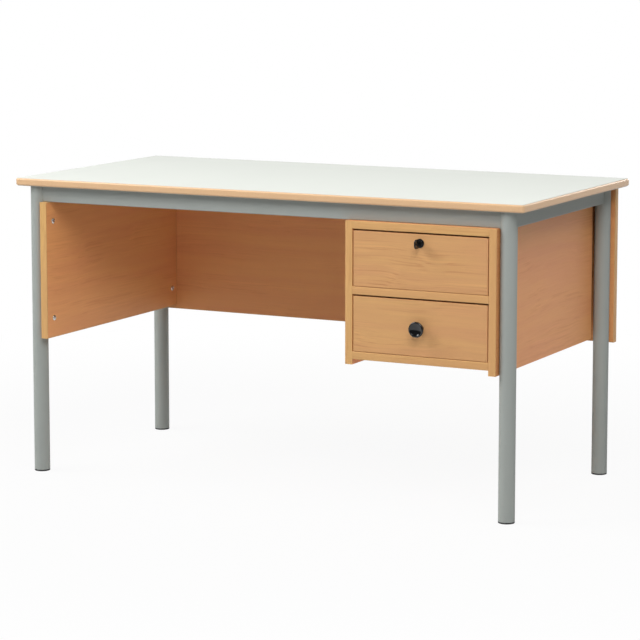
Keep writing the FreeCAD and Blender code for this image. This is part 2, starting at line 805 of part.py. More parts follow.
def pedestal_dowels():
    """Dowels between the sides and each cross board, with their holes in pairs of left and right."""
    centre = s.board / 2
    deep = back_front - pedestal_front
    rows = (
        (top_board_low, deep, DOWEL_SHARES),
        (mid_rail_low, s.mid_rail_depth, MID_RAIL_DOWEL_SHARES),
        (floor_low, deep, DOWEL_SHARES),
    )
    starts = (inner_left - s.dowel_bite, inner_right + s.dowel_bite - s.dowel_length)
    radius = s.dowel_diameter / 2
    pairs = []
    for low, depth, shares in rows:
        for share in shares:
            for x in starts:
                at = (x, pedestal_front + depth * share, low + centre)
                label = f"pedestal_dowel_{len(pairs) + 1}"
                pairs.append(dowel_with_hole(label, radius, s.dowel_length, at, RIGHT, (1, 0, 0)))
    dowels, holes = zip(*pairs)
    keep("pedestal_dowels", group("pedestal_dowel_set", list(dowels)))
    return list(holes)


def lock_slot():
    """The slot in the pedestal's top that the lock cam turns up into."""
    corner = cam_reach * cam_reach + s.cam_width * s.cam_width / 4
    sweep = (corner - cam_rise * cam_rise).root()
    low = (pedestal_x - sweep - s.slot_clearance, cam_front - s.slot_clearance, top_board_low - s.overrun)
    high = (
        pedestal_x + s.cam_width / 2 + s.slot_clearance,
        cam_rear + s.slot_clearance,
        top_board_low + s.cam_bite + s.slot_clearance,
    )
    return block("lock_slot", low, high)


def drawer_runners():
    """Runners screwed to the pedestal's sides, one pair for each drawer. Returns the left and right holes."""
    width = s.gap_side + s.box_inset + s.runner_bite
    front = drawer_rear + s.runner_front_gap
    rear = back_front - s.runner_rear_gap
    runners = []
    places = []
    for drawer, low in DRAWERS.items():
        middle = low + s.box_lift + box_height / 2
        under = middle - s.runner_height / 2
        over = middle + s.runner_height / 2
        for hand, x0 in (("left", inner_left), ("right", inner_right - width)):
            strip = block(f"{drawer}_{hand}_strip", (x0, front, under), (x0 + width, rear, over))
            runners.append((f"{drawer}_{hand}_runner", strip))
        along_runner = [front + (rear - front) * share for share in RUNNER_SCREW_SHARES]
        places += [((inner_left + width, y, middle), LEFT) for y in along_runner]
        places += [((inner_right - width, y, middle), RIGHT) for y in along_runner]
    holes = screw_set("runner_screws", places, RUNNER_SCREW, sunk_screw, sunk_hole)
    count = len(RUNNER_SCREW_SHARES)
    sets = [holes[start : start + count] for start in range(0, len(holes), count)]
    for (label, strip), own in zip(runners, sets):
        keep(label, cut(f"{label}_drilled", strip, own))
    return sets[0] + sets[2], sets[1] + sets[3]


def pedestal(leg_holes, front_holes, cross_holes):
    """The hung box: two sides, top, middle rail, floor and back, with edging on the front edges."""
    face = pedestal_front + s.edging
    dowel_holes = pedestal_dowels()
    left_holes, right_holes = drawer_runners()
    groove_front = back_front - s.groove_fit
    groove_rear = back_rear + s.groove_fit
    bite = s.back_bite + s.groove_fit
    for name, x0, x1, groove, holes in (
        ("left", pedestal_left, inner_left, (inner_left - bite, inner_left + s.overrun), left_holes),
        (
            "right",
            inner_right,
            pedestal_right,
            (inner_right - s.overrun, inner_right + bite),
            right_holes + leg_holes,
        ),
    ):
        side = block(f"pedestal_{name}_board", (x0, face, pedestal_low), (x1, pedestal_rear, rail_under))
        slot = block(
            f"pedestal_{name}_groove",
            (groove[0], groove_front, pedestal_low - s.overrun),
            (groove[1], groove_rear, rail_under + s.overrun),
        )
        own_dowels = dowel_holes[0::2] if name == "left" else dowel_holes[1::2]
        keep(f"pedestal_{name}_side", cut(f"pedestal_{name}_cut", side, [slot] + own_dowels + holes))
    mid_rear = pedestal_front + s.mid_rail_depth
    for name, low, rear, tools in (
        ("top", top_board_low, back_front, front_holes + cross_holes + [lock_slot()]),
        ("mid_rail", mid_rail_low, mid_rear, []),
        ("floor", floor_low, back_front, []),
    ):
        board = block(f"pedestal_{name}_board", (inner_left, face, low), (inner_right, rear, low + s.board))
        keep(f"pedestal_{name}", cut(f"pedestal_{name}_cut", board, dowel_holes + tools))
    low = (inner_left - s.back_bite, back_front, floor_low)
    keep("pedestal_back", block("pedestal_back", low, (inner_right + s.back_bite, back_rear, rail_under)))
    height = rail_under - pedestal_low
    strips = [
        edging_strip(f"pedestal_{name}_strip", (x, face, low), width, tall)
        for name, x, low, width, tall in (
            ("left", pedestal_left, pedestal_low, s.board, height),
            ("right", inner_right, pedestal_low, s.board, height),
            ("top", inner_left, top_board_low, opening_width, s.board),
            ("mid_rail", inner_left, mid_rail_low, opening_width, s.board),
            ("floor", inner_left, floor_low, opening_width, s.board),
        )
    ]
    keep("pedestal_edging", group("pedestal_strips", strips))


# Drawers
def drawer_dowels(name, box_low):
    """Dowels in the four corners of a drawer. Returns their holes."""
    side_x = box_half - s.box_board / 2
    inside = box_half - s.box_board
    radius = s.box_dowel_diameter / 2
    pairs = []
    for share in BOX_DOWEL_SHARES:
        z = box_low + box_height * share
        back_y = box_rear - s.box_board / 2
        front_y = drawer_rear - s.box_dowel_bite
        places = (
            ((pedestal_x - side_x, front_y, z), BACK, (0, 1, 0)),
            ((pedestal_x + side_x, front_y, z), BACK, (0, 1, 0)),
            ((pedestal_x - inside - s.box_dowel_bite, back_y, z), RIGHT, (1, 0, 0)),
            ((pedestal_x + inside + s.box_dowel_bite - s.box_dowel_length, back_y, z), RIGHT, (1, 0, 0)),
        )
        for at, turn, direction in places:
            label = f"{name}_dowel_{len(pairs) + 1}"
            pairs.append(dowel_with_hole(label, radius, s.box_dowel_length, at, turn, direction))
    dowels, holes = zip(*pairs)
    keep(f"{name}_drawer_dowels", group(f"{name}_dowel_set", list(dowels)))
    return list(holes)


def drawer(name, front_holes):
    """A drawer: edged front, two sides grooved for their runners and the base, back and base."""
    low = DRAWERS[name]
    high = low + s.drawer_height
    half = s.drawer_width / 2
    box_low = low + s.box_lift
    box_high = box_low + box_height
    base_low = box_low + s.base_lift
    base_high = base_low + s.base_thickness
    inside = box_half - s.box_board

    dowel_holes = drawer_dowels(name, box_low)
    base_half = inside + s.base_bite
    keep(
        f"{name}_drawer_base",
        block(
            f"{name}_drawer_base",
            (pedestal_x - base_half, drawer_rear - s.base_bite, base_low),
            (pedestal_x + base_half, box_rear, base_high),
        ),
    )
    base_space = block(
        f"{name}_base_groove",
        (
            pedestal_x - base_half - s.groove_fit,
            drawer_rear - s.base_bite - s.groove_fit,
            base_low - s.groove_fit,
        ),
        (pedestal_x + base_half + s.groove_fit, box_rear + s.overrun, base_high + s.groove_fit),
    )

    front = block(
        f"{name}_front_board",
        (pedestal_x - half + s.edging, drawer_face, low + s.edging),
        (pedestal_x + half - s.edging, drawer_rear, high - s.edging),
    )
    keep(f"{name}_drawer_front", cut(f"{name}_front_cut", front, [base_space] + dowel_holes + front_holes))
    corner = (pedestal_x - half, drawer_rear, low)
    edging_ring(f"{name}_drawer_edging", corner, FORWARDS, s.drawer_width, s.drawer_height)

    middle = box_low + box_height / 2
    groove_half = s.runner_height / 2 + s.runner_clearance
    depth = s.runner_bite + s.runner_side_gap
    for hand, outer, inner, slot in (
        ("left", pedestal_x - box_half, pedestal_x - inside, (-s.overrun, depth)),
        ("right", pedestal_x + box_half, pedestal_x + inside, (-depth, s.overrun)),
    ):
        ends = (outer, inner) if hand == "left" else (inner, outer)
        side = block(
            f"{name}_{hand}_board", (ends[0], drawer_rear, box_low), (ends[1], box_rear, box_high)
        )
        groove = block(
            f"{name}_{hand}_groove",
            (outer + slot[0], drawer_rear - s.overrun, middle - groove_half),
            (outer + slot[1], box_rear + s.overrun, middle + groove_half),
        )
        cutters = [groove, base_space] + dowel_holes
        keep(f"{name}_drawer_{hand}_side", cut(f"{name}_{hand}_cut", side, cutters))
    back = block(
        f"{name}_back_board",
        (pedestal_x - inside, box_rear - s.box_board, base_high),
        (pedestal_x + inside, box_rear, box_high),
    )
    keep(f"{name}_drawer_back", cut(f"{name}_back_cut", back, dowel_holes))


# Lock and key
def lock():
    """A flanged housing and its nut in the drawer front, with the barrel, cam and screw that turn in it.
    Returns the hole for the housing."""
    at = (pedestal_x, drawer_face, lock_z)
    body_r = s.lock_diameter / 2
    flange_r = s.lock_flange_diameter / 2
    barrel_r = s.barrel_diameter / 2
    head_r = s.barrel_head / 2
    bore = barrel_r + s.turning_fit
    seat = s.lock_flange - s.barrel_head_depth
    housing = [
        (bore, -s.lock_length),
        (body_r, -s.lock_length),
        (body_r, zero),
        (flange_r, zero),
        (flange_r, s.lock_flange - s.lock_bevel),
        (flange_r - s.lock_bevel, s.lock_flange),
        (head_r + s.turning_fit, s.lock_flange),
        (head_r + s.turning_fit, seat),
        (bore, seat),
    ]
    keep("lock_housing", turned("lock_housing", at, FRONT, housing))

    prism = doc.addObject("Part::Prism", "lock_nut_blank")
    prism.Polygon = 6
    bind(prism, "Circumradius", s.nut_corners / 2)
    bind(prism, "Height", s.nut_thickness)
    nut_at = (pedestal_x, drawer_rear, lock_z)
    place(prism, nut_at, BACK)
    tapped = rod("lock_nut_thread", body_r + s.push_fit, s.nut_thickness, nut_at, BACK)
    keep("lock_nut", cut("lock_nut_cut", prism, [tapped]))

    face = s.lock_flange + s.barrel_proud
    shoulder = -s.lock_length - s.cam_clearance
    spigot = s.cam_spigot / 2
    barrel = [
        (zero, shoulder - s.cam_thickness),
        (spigot, shoulder - s.cam_thickness),
        (spigot, shoulder),
        (barrel_r, shoulder),
        (barrel_r, seat + s.turning_fit),
        (head_r, seat + s.turning_fit),
        (head_r, face - s.lock_bevel),
        (head_r - s.lock_bevel, face),
        (zero, face),
    ]
    blank = turned("lock_barrel_blank", at, FRONT, barrel)
    half_wide = s.key_blade_thickness / 2 + s.key_fit
    half_tall = s.key_blade_height / 2 + s.key_fit
    keyway = block(
        "keyway",
        (pedestal_x - half_wide, drawer_face - face - s.overrun, lock_z - half_tall),
        (pedestal_x + half_wide, drawer_face - face + s.keyway_depth, lock_z + half_tall),
    )
    thread_at = (pedestal_x, cam_rear + s.overrun, lock_z)
    thread = rod(
        "cam_screw_thread", CAM_SCREW.shank + s.push_fit, s.overrun + CAM_SCREW.length, thread_at, FRONT
    )
    keep("lock_barrel", cut("lock_barrel_cut", blank, [keyway, thread]))

    cam_half = s.cam_width / 2
    arm = block(
        "lock_cam_arm",
        (pedestal_x - cam_reach, cam_front, lock_z - cam_half),
        (pedestal_x, cam_rear, lock_z + cam_half),
    )
    eye = rod("lock_cam_eye", cam_half, s.cam_thickness, (pedestal_x, cam_front, lock_z), BACK)
    plate = doc.addObject("Part::Fuse", "lock_cam_plate")
    plate.Base = arm
    plate.Tool = eye
    hole_at = (pedestal_x, cam_front - s.overrun, lock_z)
    hole = rod("lock_cam_hole", spigot + s.push_fit, s.cam_thickness + s.overrun * 2, hole_at, BACK)
    keep("lock_cam", cut("lock_cam_cut", plate, [hole]))
    keep("cam_screw", pan_screw("cam_screw", (pedestal_x, cam_rear, lock_z), FRONT, CAM_SCREW))

    inside = (pedestal_x, drawer_rear + s.overrun, lock_z)
    return rod("lock_hole", body_r + s.push_fit, s.board + s.overrun * 2, inside, FRONT)


def key():
    """A notched steel blade with a moulded bow, standing upright in the keyway."""
    barrel_face = drawer_face - s.lock_flange - s.barrel_proud
    tip = drawer_face - s.key_reach
    bow_rear = tip + s.key_bow_length
    low = (
        pedestal_x - s.key_blade_thickness / 2,
        bow_rear - s.key_tang,
        lock_z - s.key_blade_height / 2,
    )
    high = (
        pedestal_x + s.key_blade_thickness / 2,
        barrel_face + s.keyway_depth - s.key_fit,
        lock_z + s.key_blade_height / 2,
    )
    blank = block("key_blank", low, high)
    notches = []
    for number, share in enumerate(KEY_NOTCH_SHARES):
        y = barrel_face + s.keyway_depth * share
        edge = low[2] if number % 2 else high[2]
        at = (pedestal_x - s.key_blade_thickness, y, edge)
        notches.append(rod(f"key_notch_{number}", s.key_notch, s.key_blade_thickness * 2, at, RIGHT))
    keep("key_blade", cut("key_blade_cut", blank, notches))

    corner = (pedestal_x - s.key_bow_thickness / 2, tip, lock_z - s.key_bow_height / 2)
    owner = body("key_bow_blank", corner, SIDEWAYS)
    drawing = sketch(owner)
    rectangle(drawing, (zero, zero), (s.key_bow_length, s.key_bow_height))
    base = pad(owner, drawing, s.key_bow_thickness)
    rounded(owner, base, s.key_bow_round, lambda middle, direction: along(direction, "z"))
    tang = block("key_tang_slot", low, (high[0], bow_rear + s.overrun, high[2]))
    ring_at = (pedestal_x - s.key_bow_thickness, tip + s.key_ring_inset, lock_z)
    ring = rod("key_ring_hole", s.key_ring_hole / 2, s.key_bow_thickness * 2, ring_at, RIGHT)
    keep("key_bow", cut("key_bow_cut", owner, [tang, ring]))


def knob():
    """A waisted round knob with a dished face, held by a screw through the drawer front.
    Returns the hole for the screw."""
    rim = s.knob_diameter / 2
    neck = s.knob_neck / 2
    hole = KNOB_SCREW.shank + s.push_fit
    under = s.knob_height - s.knob_rim
    bore = s.knob_screw_bite + s.push_fit
    out = rim - neck
    rise = under - s.knob_neck_rise
    flare = (out * out + rise * rise) / (out * 2)
    dished = rim - s.knob_lip
    dish = (dished * dished + s.knob_dish * s.knob_dish) / (s.knob_dish * 2)
    points = [
        (hole, zero),
        (s.knob_base / 2, zero),
        (neck, s.knob_neck_rise),
        (rim, under),
        (rim, s.knob_height - s.knob_lip),
        (dished, s.knob_height),
        (zero, s.knob_height - s.knob_dish),
        (zero, bore),
        (hole, bore),
    ]
    arcs = {2: (flare, 1), 4: (s.knob_lip, -1), 5: (dish, 1)}
    keep("knob", turned("knob", (pedestal_x, drawer_face, knob_z), FRONT, points, arcs))
    seat = (pedestal_x, drawer_rear, knob_z)
    keep("knob_screw", pan_screw("knob_screw", seat, FRONT, KNOB_SCREW))
    start = (pedestal_x, drawer_rear + s.overrun, knob_z)
    shank = KNOB_SCREW.shank + s.screw_fit
    return rod("knob_screw_hole", shank, s.board + s.overrun * 2, start, FRONT)


def desk():
    front_left_holes, rear_left_holes = side_panel()
    modesty_left_holes, modesty_right_holes = modesty_panel()
    leg_holes, front_holes, cross_holes = pedestal_hangers()
    tube_leg("front_left", front_left_holes)
    tube_leg("front_right", leg_holes)
    tube_leg("rear_left", rear_left_holes + modesty_left_holes)
    tube_leg("rear_right", modesty_right_holes)
    for name in LEGS:
        foot(name)
    screw_places = long_rail("front", front_holes) + long_rail("rear", [])
    screw_places += side_rail("left") + side_rail("right") + cross_rail(cross_holes)
    worktop(screw_places)
    pedestal(leg_holes, front_holes, cross_holes)
    drawer("upper", [lock()])
    drawer("lower", [knob()])
    key()


def write_parts():
    """Writes each sub-part once all of them are sound."""
    doc.recompute()
    failed = [item.Label for item in doc.Objects if {"Invalid", "Error"} & set(item.State)]
    for label, item in nodes.items():
        if item.Shape.isNull() or not item.Shape.isValid() or not item.Shape.Solids:
            failed.append(label)
    if failed:
        raise RuntimeError(f"these did not build: {failed}")
    os.makedirs("parts", exist_ok=True)
    for label, item in nodes.items():
        item.Shape.exportStep(f"parts/{label}.step")
    print(len(nodes), "sub-parts written")


desk()
write_parts()
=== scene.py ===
"""Looks of a pedestal desk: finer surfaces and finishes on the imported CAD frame, and a plain studio."""

from math import pi, radians, tau

import bmesh
import bpy
import numpy as np
from bpy.props import FloatProperty, FloatVectorProperty, IntProperty, PointerProperty
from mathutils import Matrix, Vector


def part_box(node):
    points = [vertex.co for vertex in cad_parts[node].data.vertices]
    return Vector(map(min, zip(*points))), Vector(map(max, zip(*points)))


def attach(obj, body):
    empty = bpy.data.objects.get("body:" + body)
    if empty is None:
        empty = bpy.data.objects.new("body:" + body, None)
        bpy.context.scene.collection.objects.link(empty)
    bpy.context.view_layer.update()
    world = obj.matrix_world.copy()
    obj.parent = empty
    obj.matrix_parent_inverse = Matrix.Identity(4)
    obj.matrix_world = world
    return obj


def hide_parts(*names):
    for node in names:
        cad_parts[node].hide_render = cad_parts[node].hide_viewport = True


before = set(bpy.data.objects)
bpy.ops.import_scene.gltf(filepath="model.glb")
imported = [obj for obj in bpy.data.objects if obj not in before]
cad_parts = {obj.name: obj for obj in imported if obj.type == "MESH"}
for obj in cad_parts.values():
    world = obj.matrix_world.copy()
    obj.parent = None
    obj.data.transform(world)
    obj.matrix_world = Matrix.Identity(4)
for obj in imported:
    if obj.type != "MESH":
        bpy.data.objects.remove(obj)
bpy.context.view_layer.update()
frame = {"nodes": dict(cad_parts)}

bl_info = {
    "name": "Pedestal desk",
    "version": (1, 0, 0),
    "blender": (4, 5, 0),
    "location": "View3D > Sidebar > Desk",
    "description": "Dresses the frame of a pedestal desk with surfaces, finishes and a studio",
    "category": "Object",
}

X, Y, Z = np.eye(3)
LEGS = ("front_left", "front_right", "rear_left", "rear_right")
DRAWERS = ("upper", "lower")
LAMPS = ("left", "front", "right", "rear")
CREASE = radians(35)
SENSOR = 36
FARTHEST = 200

# How finely the forms are divided
SCREW_SIDES = 48
KNOB_SIDES = 96
WELD_SIDES = 10
FINE_STEPS = 4
ARRIS_STEPS = 6
CORNER_STEPS = 8
EDGE_STEPS = 10
LIP_STEPS = 14
BOW_STEPS = 16
KEYWAY_STEPS = (3, 10)
DISH_STEPS = 20
FLARE_STEPS = 24
RAIL_STEPS = 40
DOME_RINGS = 14
HEAD_RINGS = 16
RIM_RINGS = 13
SHANK_RINGS = 60
BLADE_RINGS = 140
THREAD_TURNS = 60


def linear(red, green, blue):
    """A colour as a screen shows it, from 0 to 255, in the linear light that shaders use."""
    share = np.array([red, green, blue]) / 255
    light = np.where(share <= 0.04045, share / 12.92, ((share + 0.055) / 1.055) ** 2.4)
    return tuple(float(part) for part in light)


def span(node):
    """The lowest and highest corner of a CAD node, as arrays."""
    low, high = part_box(node)
    return np.array(low), np.array(high)


def middle_of(node):
    """The middle of a CAD node's box."""
    return sum(span(node)) / 2


# Surfaces


class Shell:
    """Points, the corners of all faces in one row, and how many corners each face has."""

    def __init__(self, points, loops, sizes):
        self.points = points
        self.loops = loops
        self.sizes = sizes

    def stood(self, origin, x=X, y=Y, z=Z):
        """The shell with its own axes laid along three directions from an origin."""
        return Shell(self.points @ np.array([x, y, z]) + origin, self.loops, self.sizes)


def skin(rings, start="face", end="face", joined=False):
    """Faces over a grid: rings[i, j] is point j of ring i, and every ring is closed on itself.
    An end is a flat face or a pole, where its ring has shrunk to a point. Joined rings have no ends."""
    rings = np.asarray(rings, float)
    poles = []
    if not joined and start == "pole":
        poles.append(rings[0].mean(axis=0))
        rings = rings[1:]
    if not joined and end == "pole":
        poles.append(rings[-1].mean(axis=0))
        rings = rings[:-1]
    count, sides = rings.shape[:2]
    here = np.arange(sides)
    after = (here + 1) % sides
    row = np.arange(count if joined else count - 1)[:, None]
    low = row * sides
    high = (row + 1) % count * sides
    quads = np.stack([low + here, low + after, high + after, high + here], axis=-1)
    loops = [quads.ravel()]
    sizes = [np.full(quads.shape[0] * sides, 4)]
    pole = count * sides
    ends = () if joined else ((start, 0, -1), (end, (count - 1) * sides, 1))
    for kind, first, turn in ends:
        if kind == "face":
            loops.append(first + here[::turn])
            sizes.append([sides])
        if kind == "pole":
            fan = np.stack([first + here, first + after, np.full(sides, pole)], axis=-1)
            loops.append(fan[:, ::turn].ravel())
            sizes.append(np.full(sides, 3))
            pole += 1
    points = np.vstack([rings.reshape(-1, 3), *poles])
    return Shell(points, np.concatenate(loops), np.concatenate(sizes))


def rings_of(profile, steps):
    """Rings of a turned form: each profile point is a radius and a height, swung once round Z."""
    angle = np.arange(steps) * tau / steps
    radius, height = np.asarray(profile, float).T
    flat = radius[:, None, None] * np.stack([np.cos(angle), np.sin(angle)], axis=-1)
    up = np.broadcast_to(height[:, None, None], flat.shape[:2] + (1,))
    return np.concatenate([flat, up], axis=-1)


def stacked(outlines):
    """Rings from flat outlines, each with a height of its own."""
    return np.array([np.column_stack([line, np.full(len(line), up)]) for line, up in outlines])


def arc(centre, radius, begin, end, steps):
    """Points of a circle's arc between two angles."""
    angle = np.linspace(begin, end, steps + 1)
    return np.array(centre) + radius * np.stack([np.cos(angle), np.sin(angle)], axis=-1)


def rounded_rectangle(width, height, radius, arc_steps, flat_steps):
    """A rectangle round the origin whose corners are quarter circles, its flats cut into steps."""
    inset = np.array([width, height]) / 2 - radius
    corners = [
        arc(inset * sign, radius, begin, begin + pi / 2, arc_steps)
        for sign, begin in (((1, 1), 0), ((-1, 1), pi / 2), ((-1, -1), pi), ((1, -1), 1.5 * pi))
    ]
    along = np.arange(1, flat_steps)[:, None] / flat_steps
    line = []
    for corner, following in zip(corners, corners[1:] + corners[:1]):
        line += [corner, corner[-1] + (following[0] - corner[-1]) * along]
    return np.vstack(line)


def smooth_step(low, high, value):
    """A curve that eases from 0 at low to 1 at high."""
    share = np.clip((value - low) / (high - low), 0, 1)
    return share * share * (3 - 2 * share)


def piece(name, shells, finish, body, nodes=()):
    """Makes one object of some shells, gives it its finish and puts it on its CAD body."""
    offsets = np.cumsum([0] + [len(shell.points) for shell in shells[:-1]])
    points = np.vstack([shell.points for shell in shells])
    loops = np.concatenate([shell.loops + start for shell, start in zip(shells, offsets)])
    sizes = np.concatenate([shell.sizes for shell in shells])
    mesh = bpy.data.meshes.new(name)
    mesh.vertices.add(len(points))
    mesh.vertices.foreach_set("co", points.ravel())
    mesh.loops.add(len(loops))
    mesh.loops.foreach_set("vertex_index", loops)
    mesh.polygons.add(len(sizes))
    mesh.polygons.foreach_set("loop_start", np.cumsum(sizes) - sizes)
    mesh.update(calc_edges=True)
    if mesh.validate():
        raise RuntimeError(f"the mesh of {name} has faulty faces")
    turned_out = bmesh.new()
    turned_out.from_mesh(mesh)
    bmesh.ops.recalc_face_normals(turned_out, faces=turned_out.faces)
    turned_out.to_mesh(mesh)
    turned_out.free()
    mesh.polygons.foreach_set("use_smooth", np.ones(len(sizes), bool))
    mesh.set_sharp_from_angle(angle=CREASE)
    mesh.materials.append(finish)
    made = bpy.data.objects.new(name, mesh)
    bpy.context.scene.collection.objects.link(made)
    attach(made, body)
    if nodes:
        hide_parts(*nodes)
    return made


def paint(finish, *nodes):
    """Gives CAD nodes that keep their own shape a finish."""
    for node in nodes:
        for holder in frame["nodes"][node].material_slots:
            holder.material = finish


# Shader maths


def maths(operation, reflected=False):
    """An operator of a wire. It adds one Math node, with the two terms exchanged in its reflected form."""

    def apply(wire, other):
        first, second = (other, wire) if reflected else (wire, other)
        return wire.finish.node("ShaderNodeMath", {"operation": operation}, {0: first, 1: second})

    return apply


class Wire:
    """A socket in a sum: each operator adds one Math node and gives its result."""

    __add__ = maths("ADD")
    __radd__ = maths("ADD", reflected=True)
    __sub__ = maths("SUBTRACT")
    __rsub__ = maths("SUBTRACT", reflected=True)
    __mul__ = maths("MULTIPLY")
    __rmul__ = maths("MULTIPLY", reflected=True)
    __truediv__ = maths("DIVIDE")
    __rtruediv__ = maths("DIVIDE", reflected=True)

    def __init__(self, finish, socket):
        self.finish = finish
        self.socket = socket

    def within(self, low, high, start=0.0, end=1.0):
        """Eases from one value at low to another at high."""
        settings = {"interpolation_type": "SMOOTHSTEP"}
        sockets = {"Value": self, "From Min": low, "From Max": high, "To Min": start, "To Max": end}
        return self.finish.node("ShaderNodeMapRange", settings, sockets)


class Finish:
    """A material, or the room's light, under construction. Every node of it comes from one method."""

    def __init__(self, name, kind=bpy.data.materials):
        self.owner = kind.new(name)
        self.owner.use_nodes = True
        self.tree = self.owner.node_tree
        self.tree.nodes.clear()

    def node(self, kind, settings=None, sockets=None, output=0):
        """Adds a node: its settings first, then a value or a wire for each named or numbered socket."""
        new = self.tree.nodes.new(kind)
        for name, value in (settings or {}).items():
            setattr(new, name, value)
        for name, value in (sockets or {}).items():
            if isinstance(value, Wire):
                self.tree.links.new(value.socket, new.inputs[name])
            else:
                new.inputs[name].default_value = value
        return Wire(self, new.outputs[output]) if new.outputs else None

    def place(self):
        """Where a point of the surface is, in metres in the desk's own frame."""
        return self.node("ShaderNodeTexCoord", output="Object")

    def moved(self, place, shift):
        """A place with a shift added to it."""
        return self.node("ShaderNodeVectorMath", {"operation": "ADD"}, {0: place, 1: shift})

    def stretched(self, place, factors):
        """A place with each of its coordinates scaled."""
        return self.node("ShaderNodeVectorMath", {"operation": "MULTIPLY"}, {0: place, 1: factors})

    def axis(self, place, name):
        """One coordinate of a place."""
        return self.node("ShaderNodeSeparateXYZ", sockets={0: place}, output=name)

    def noise(self, place, scale=1.0, detail=2.0, distortion=0.0):
        """Soft random patches, as values about a half."""
        sockets = {"Vector": place, "Scale": scale, "Detail": detail, "Distortion": distortion}
        return self.node("ShaderNodeTexNoise", sockets=sockets)

    def streaks(self, place, axis, along, across, detail=1.0):
        """Noise drawn out along one axis, from its scales along that axis and across it."""
        factors = tuple(along if name == axis else across for name in "xyz")
        return self.noise(self.stretched(place, factors), detail=detail)

    def ray(self, kind):
        """1 for rays of one kind, and 0 for all others."""
        return self.node("ShaderNodeLightPath", output=f"Is {kind} Ray")

    def seen(self, where):
        """1 for the eye, and also for mirrors and glass where a mask says so."""
        return self.ray("Camera") + (self.ray("Glossy") + self.ray("Transmission")) * where

    def mixed(self, share, first, second):
        """A colour between two colours."""
        sockets = {0: share, 6: self.colour(first), 7: self.colour(second)}
        return self.node("ShaderNodeMix", {"data_type": "RGBA"}, sockets, output=2)

    def shaded(self, colour, tone):
        """A colour made lighter or darker."""
        sockets = {0: colour if isinstance(colour, Wire) else colour[:3], "Scale": tone}
        return self.node("ShaderNodeVectorMath", {"operation": "SCALE"}, sockets)

    def colour(self, value):
        """A colour with the fourth part that a colour socket wants."""
        return value if isinstance(value, Wire) else (*value[:3], 1.0)

    def bump(self, height, strength, depth):
        """A normal tilted by the slopes of a height."""
        sockets = {"Strength": strength, "Distance": depth, "Height": height}
        return self.node("ShaderNodeBump", sockets=sockets)

    def done(self, **sockets):
        """Ends in a Principled shader with these sockets, spaces in their names written as underlines."""
        named = {name.replace("_", " "): value for name, value in sockets.items()}
        named["Base Color"] = self.colour(named["Base Color"])
        return self.ended(self.node("ShaderNodeBsdfPrincipled", sockets=named))

    def ended(self, shader, kind="ShaderNodeOutputMaterial"):
        """Joins a shader to the output and gives the finished material or room."""
        self.node(kind, sockets={"Surface": shader})
        return self.owner


def tinted(colour, shares):
    """A colour with each of its parts scaled by a share."""
    return [part * share for part, share in zip(colour, shares)]


def beech(name, colour, axis, seed, contrast=1.0):
    """Lacquered beech. The grain runs along one axis and wanders a little to the sides. Broad bands and a
    slow drift lie between a yellow and a red tone, clusters of thin red-brown and pale lines run in them, and
    short flecks lie between the lines."""
    finish = Finish(name)
    start = finish.moved(finish.place(), seed)
    wander = finish.streaks(start, axis, 2.2, 5) * 0.03 + finish.streaks(start, axis, 8, 7) * 0.011
    sideways = {letter.upper(): wander for letter in "xyz" if letter != axis}
    grain = finish.moved(start, finish.node("ShaderNodeCombineXYZ", sockets=sideways))
    drift = finish.streaks(grain, axis, 2.0, 6).within(0.36, 0.64)
    bands = finish.streaks(grain, axis, 1.3, 34, detail=2.0)
    lines = finish.streaks(grain, axis, 5, 260, detail=2.0)
    cluster = finish.streaks(grain, axis, 2.4, 16).within(0.40, 0.62)
    flecks = finish.streaks(grain, axis, 60, 900).within(0.60, 0.74)
    dark = lines.within(0.54, 0.70) * cluster
    pale = lines.within(0.46, 0.30) * cluster
    yellow = tinted(colour, (1.01, 1.05, 0.97))
    red = tinted(colour, (0.98, 0.93, 0.95))
    deep = tinted(colour, (0.86, 0.74, 0.68))
    ground = finish.mixed(bands.within(0.34, 0.66) * 0.5 + drift * 0.5, yellow, red)
    hue = finish.mixed(dark * contrast * 0.9, ground, deep)
    tone = (0.5 - bands) * 0.14 + (0.5 - lines) * 0.11 + pale * 0.08 - flecks * 0.06
    return finish.done(
        Base_Color=finish.shaded(hue, 1 + tone * contrast),
        Roughness=0.42 + lines * 0.12,
        Specular_IOR_Level=0.36,
        Normal=finish.bump(0 - dark - flecks * 0.5, 0.10, 0.0003),
    )


def powder_coat(name, colour):
    """Satin powder paint: a fine orange-peel skin and a trace of unevenness."""
    finish = Finish(name)
    place = finish.place()
    peel = finish.noise(place, 900, 2.0)
    cloud = finish.noise(place, 9, 2.0)
    return finish.done(
        Base_Color=finish.shaded(colour, 0.97 + cloud * 0.06),
        Roughness=0.34 + peel * 0.08,
        Specular_IOR_Level=0.04,
        Normal=finish.bump(peel, 0.10, 0.0003),
    )


def laminate(name, colour):
    """Pale worktop laminate: a fine speckle under a dull skin."""
    finish = Finish(name)
    place = finish.place()
    speckle = finish.noise(place, 1900, 1.0)
    cloud = finish.noise(place, 5, 2.0)
    return finish.done(
        Base_Color=finish.shaded(colour, 0.975 + speckle * 0.03 + cloud * 0.02),
        Roughness=0.50 + cloud * 0.10,
        Specular_IOR_Level=0.012,
        Normal=finish.bump(speckle, 0.05, 0.0002),
    )


def lacquered_mdf(name, colour):
    """Pressed fibre under clear lacquer: mottled, with fine dark fibres."""
    finish = Finish(name)
    place = finish.place()
    mottle = finish.noise(place, 260, 3.0)
    fibres = finish.noise(place, 1500, 1.0).within(0.60, 0.75)
    return finish.done(
        Base_Color=finish.shaded(colour, 0.96 + mottle * 0.10 - fibres * 0.10),
        Roughness=0.36 + mottle * 0.12,
        Coat_Weight=0.15,
        Coat_Roughness=0.25,
        Normal=finish.bump(mottle, 0.06, 0.0003),
    )


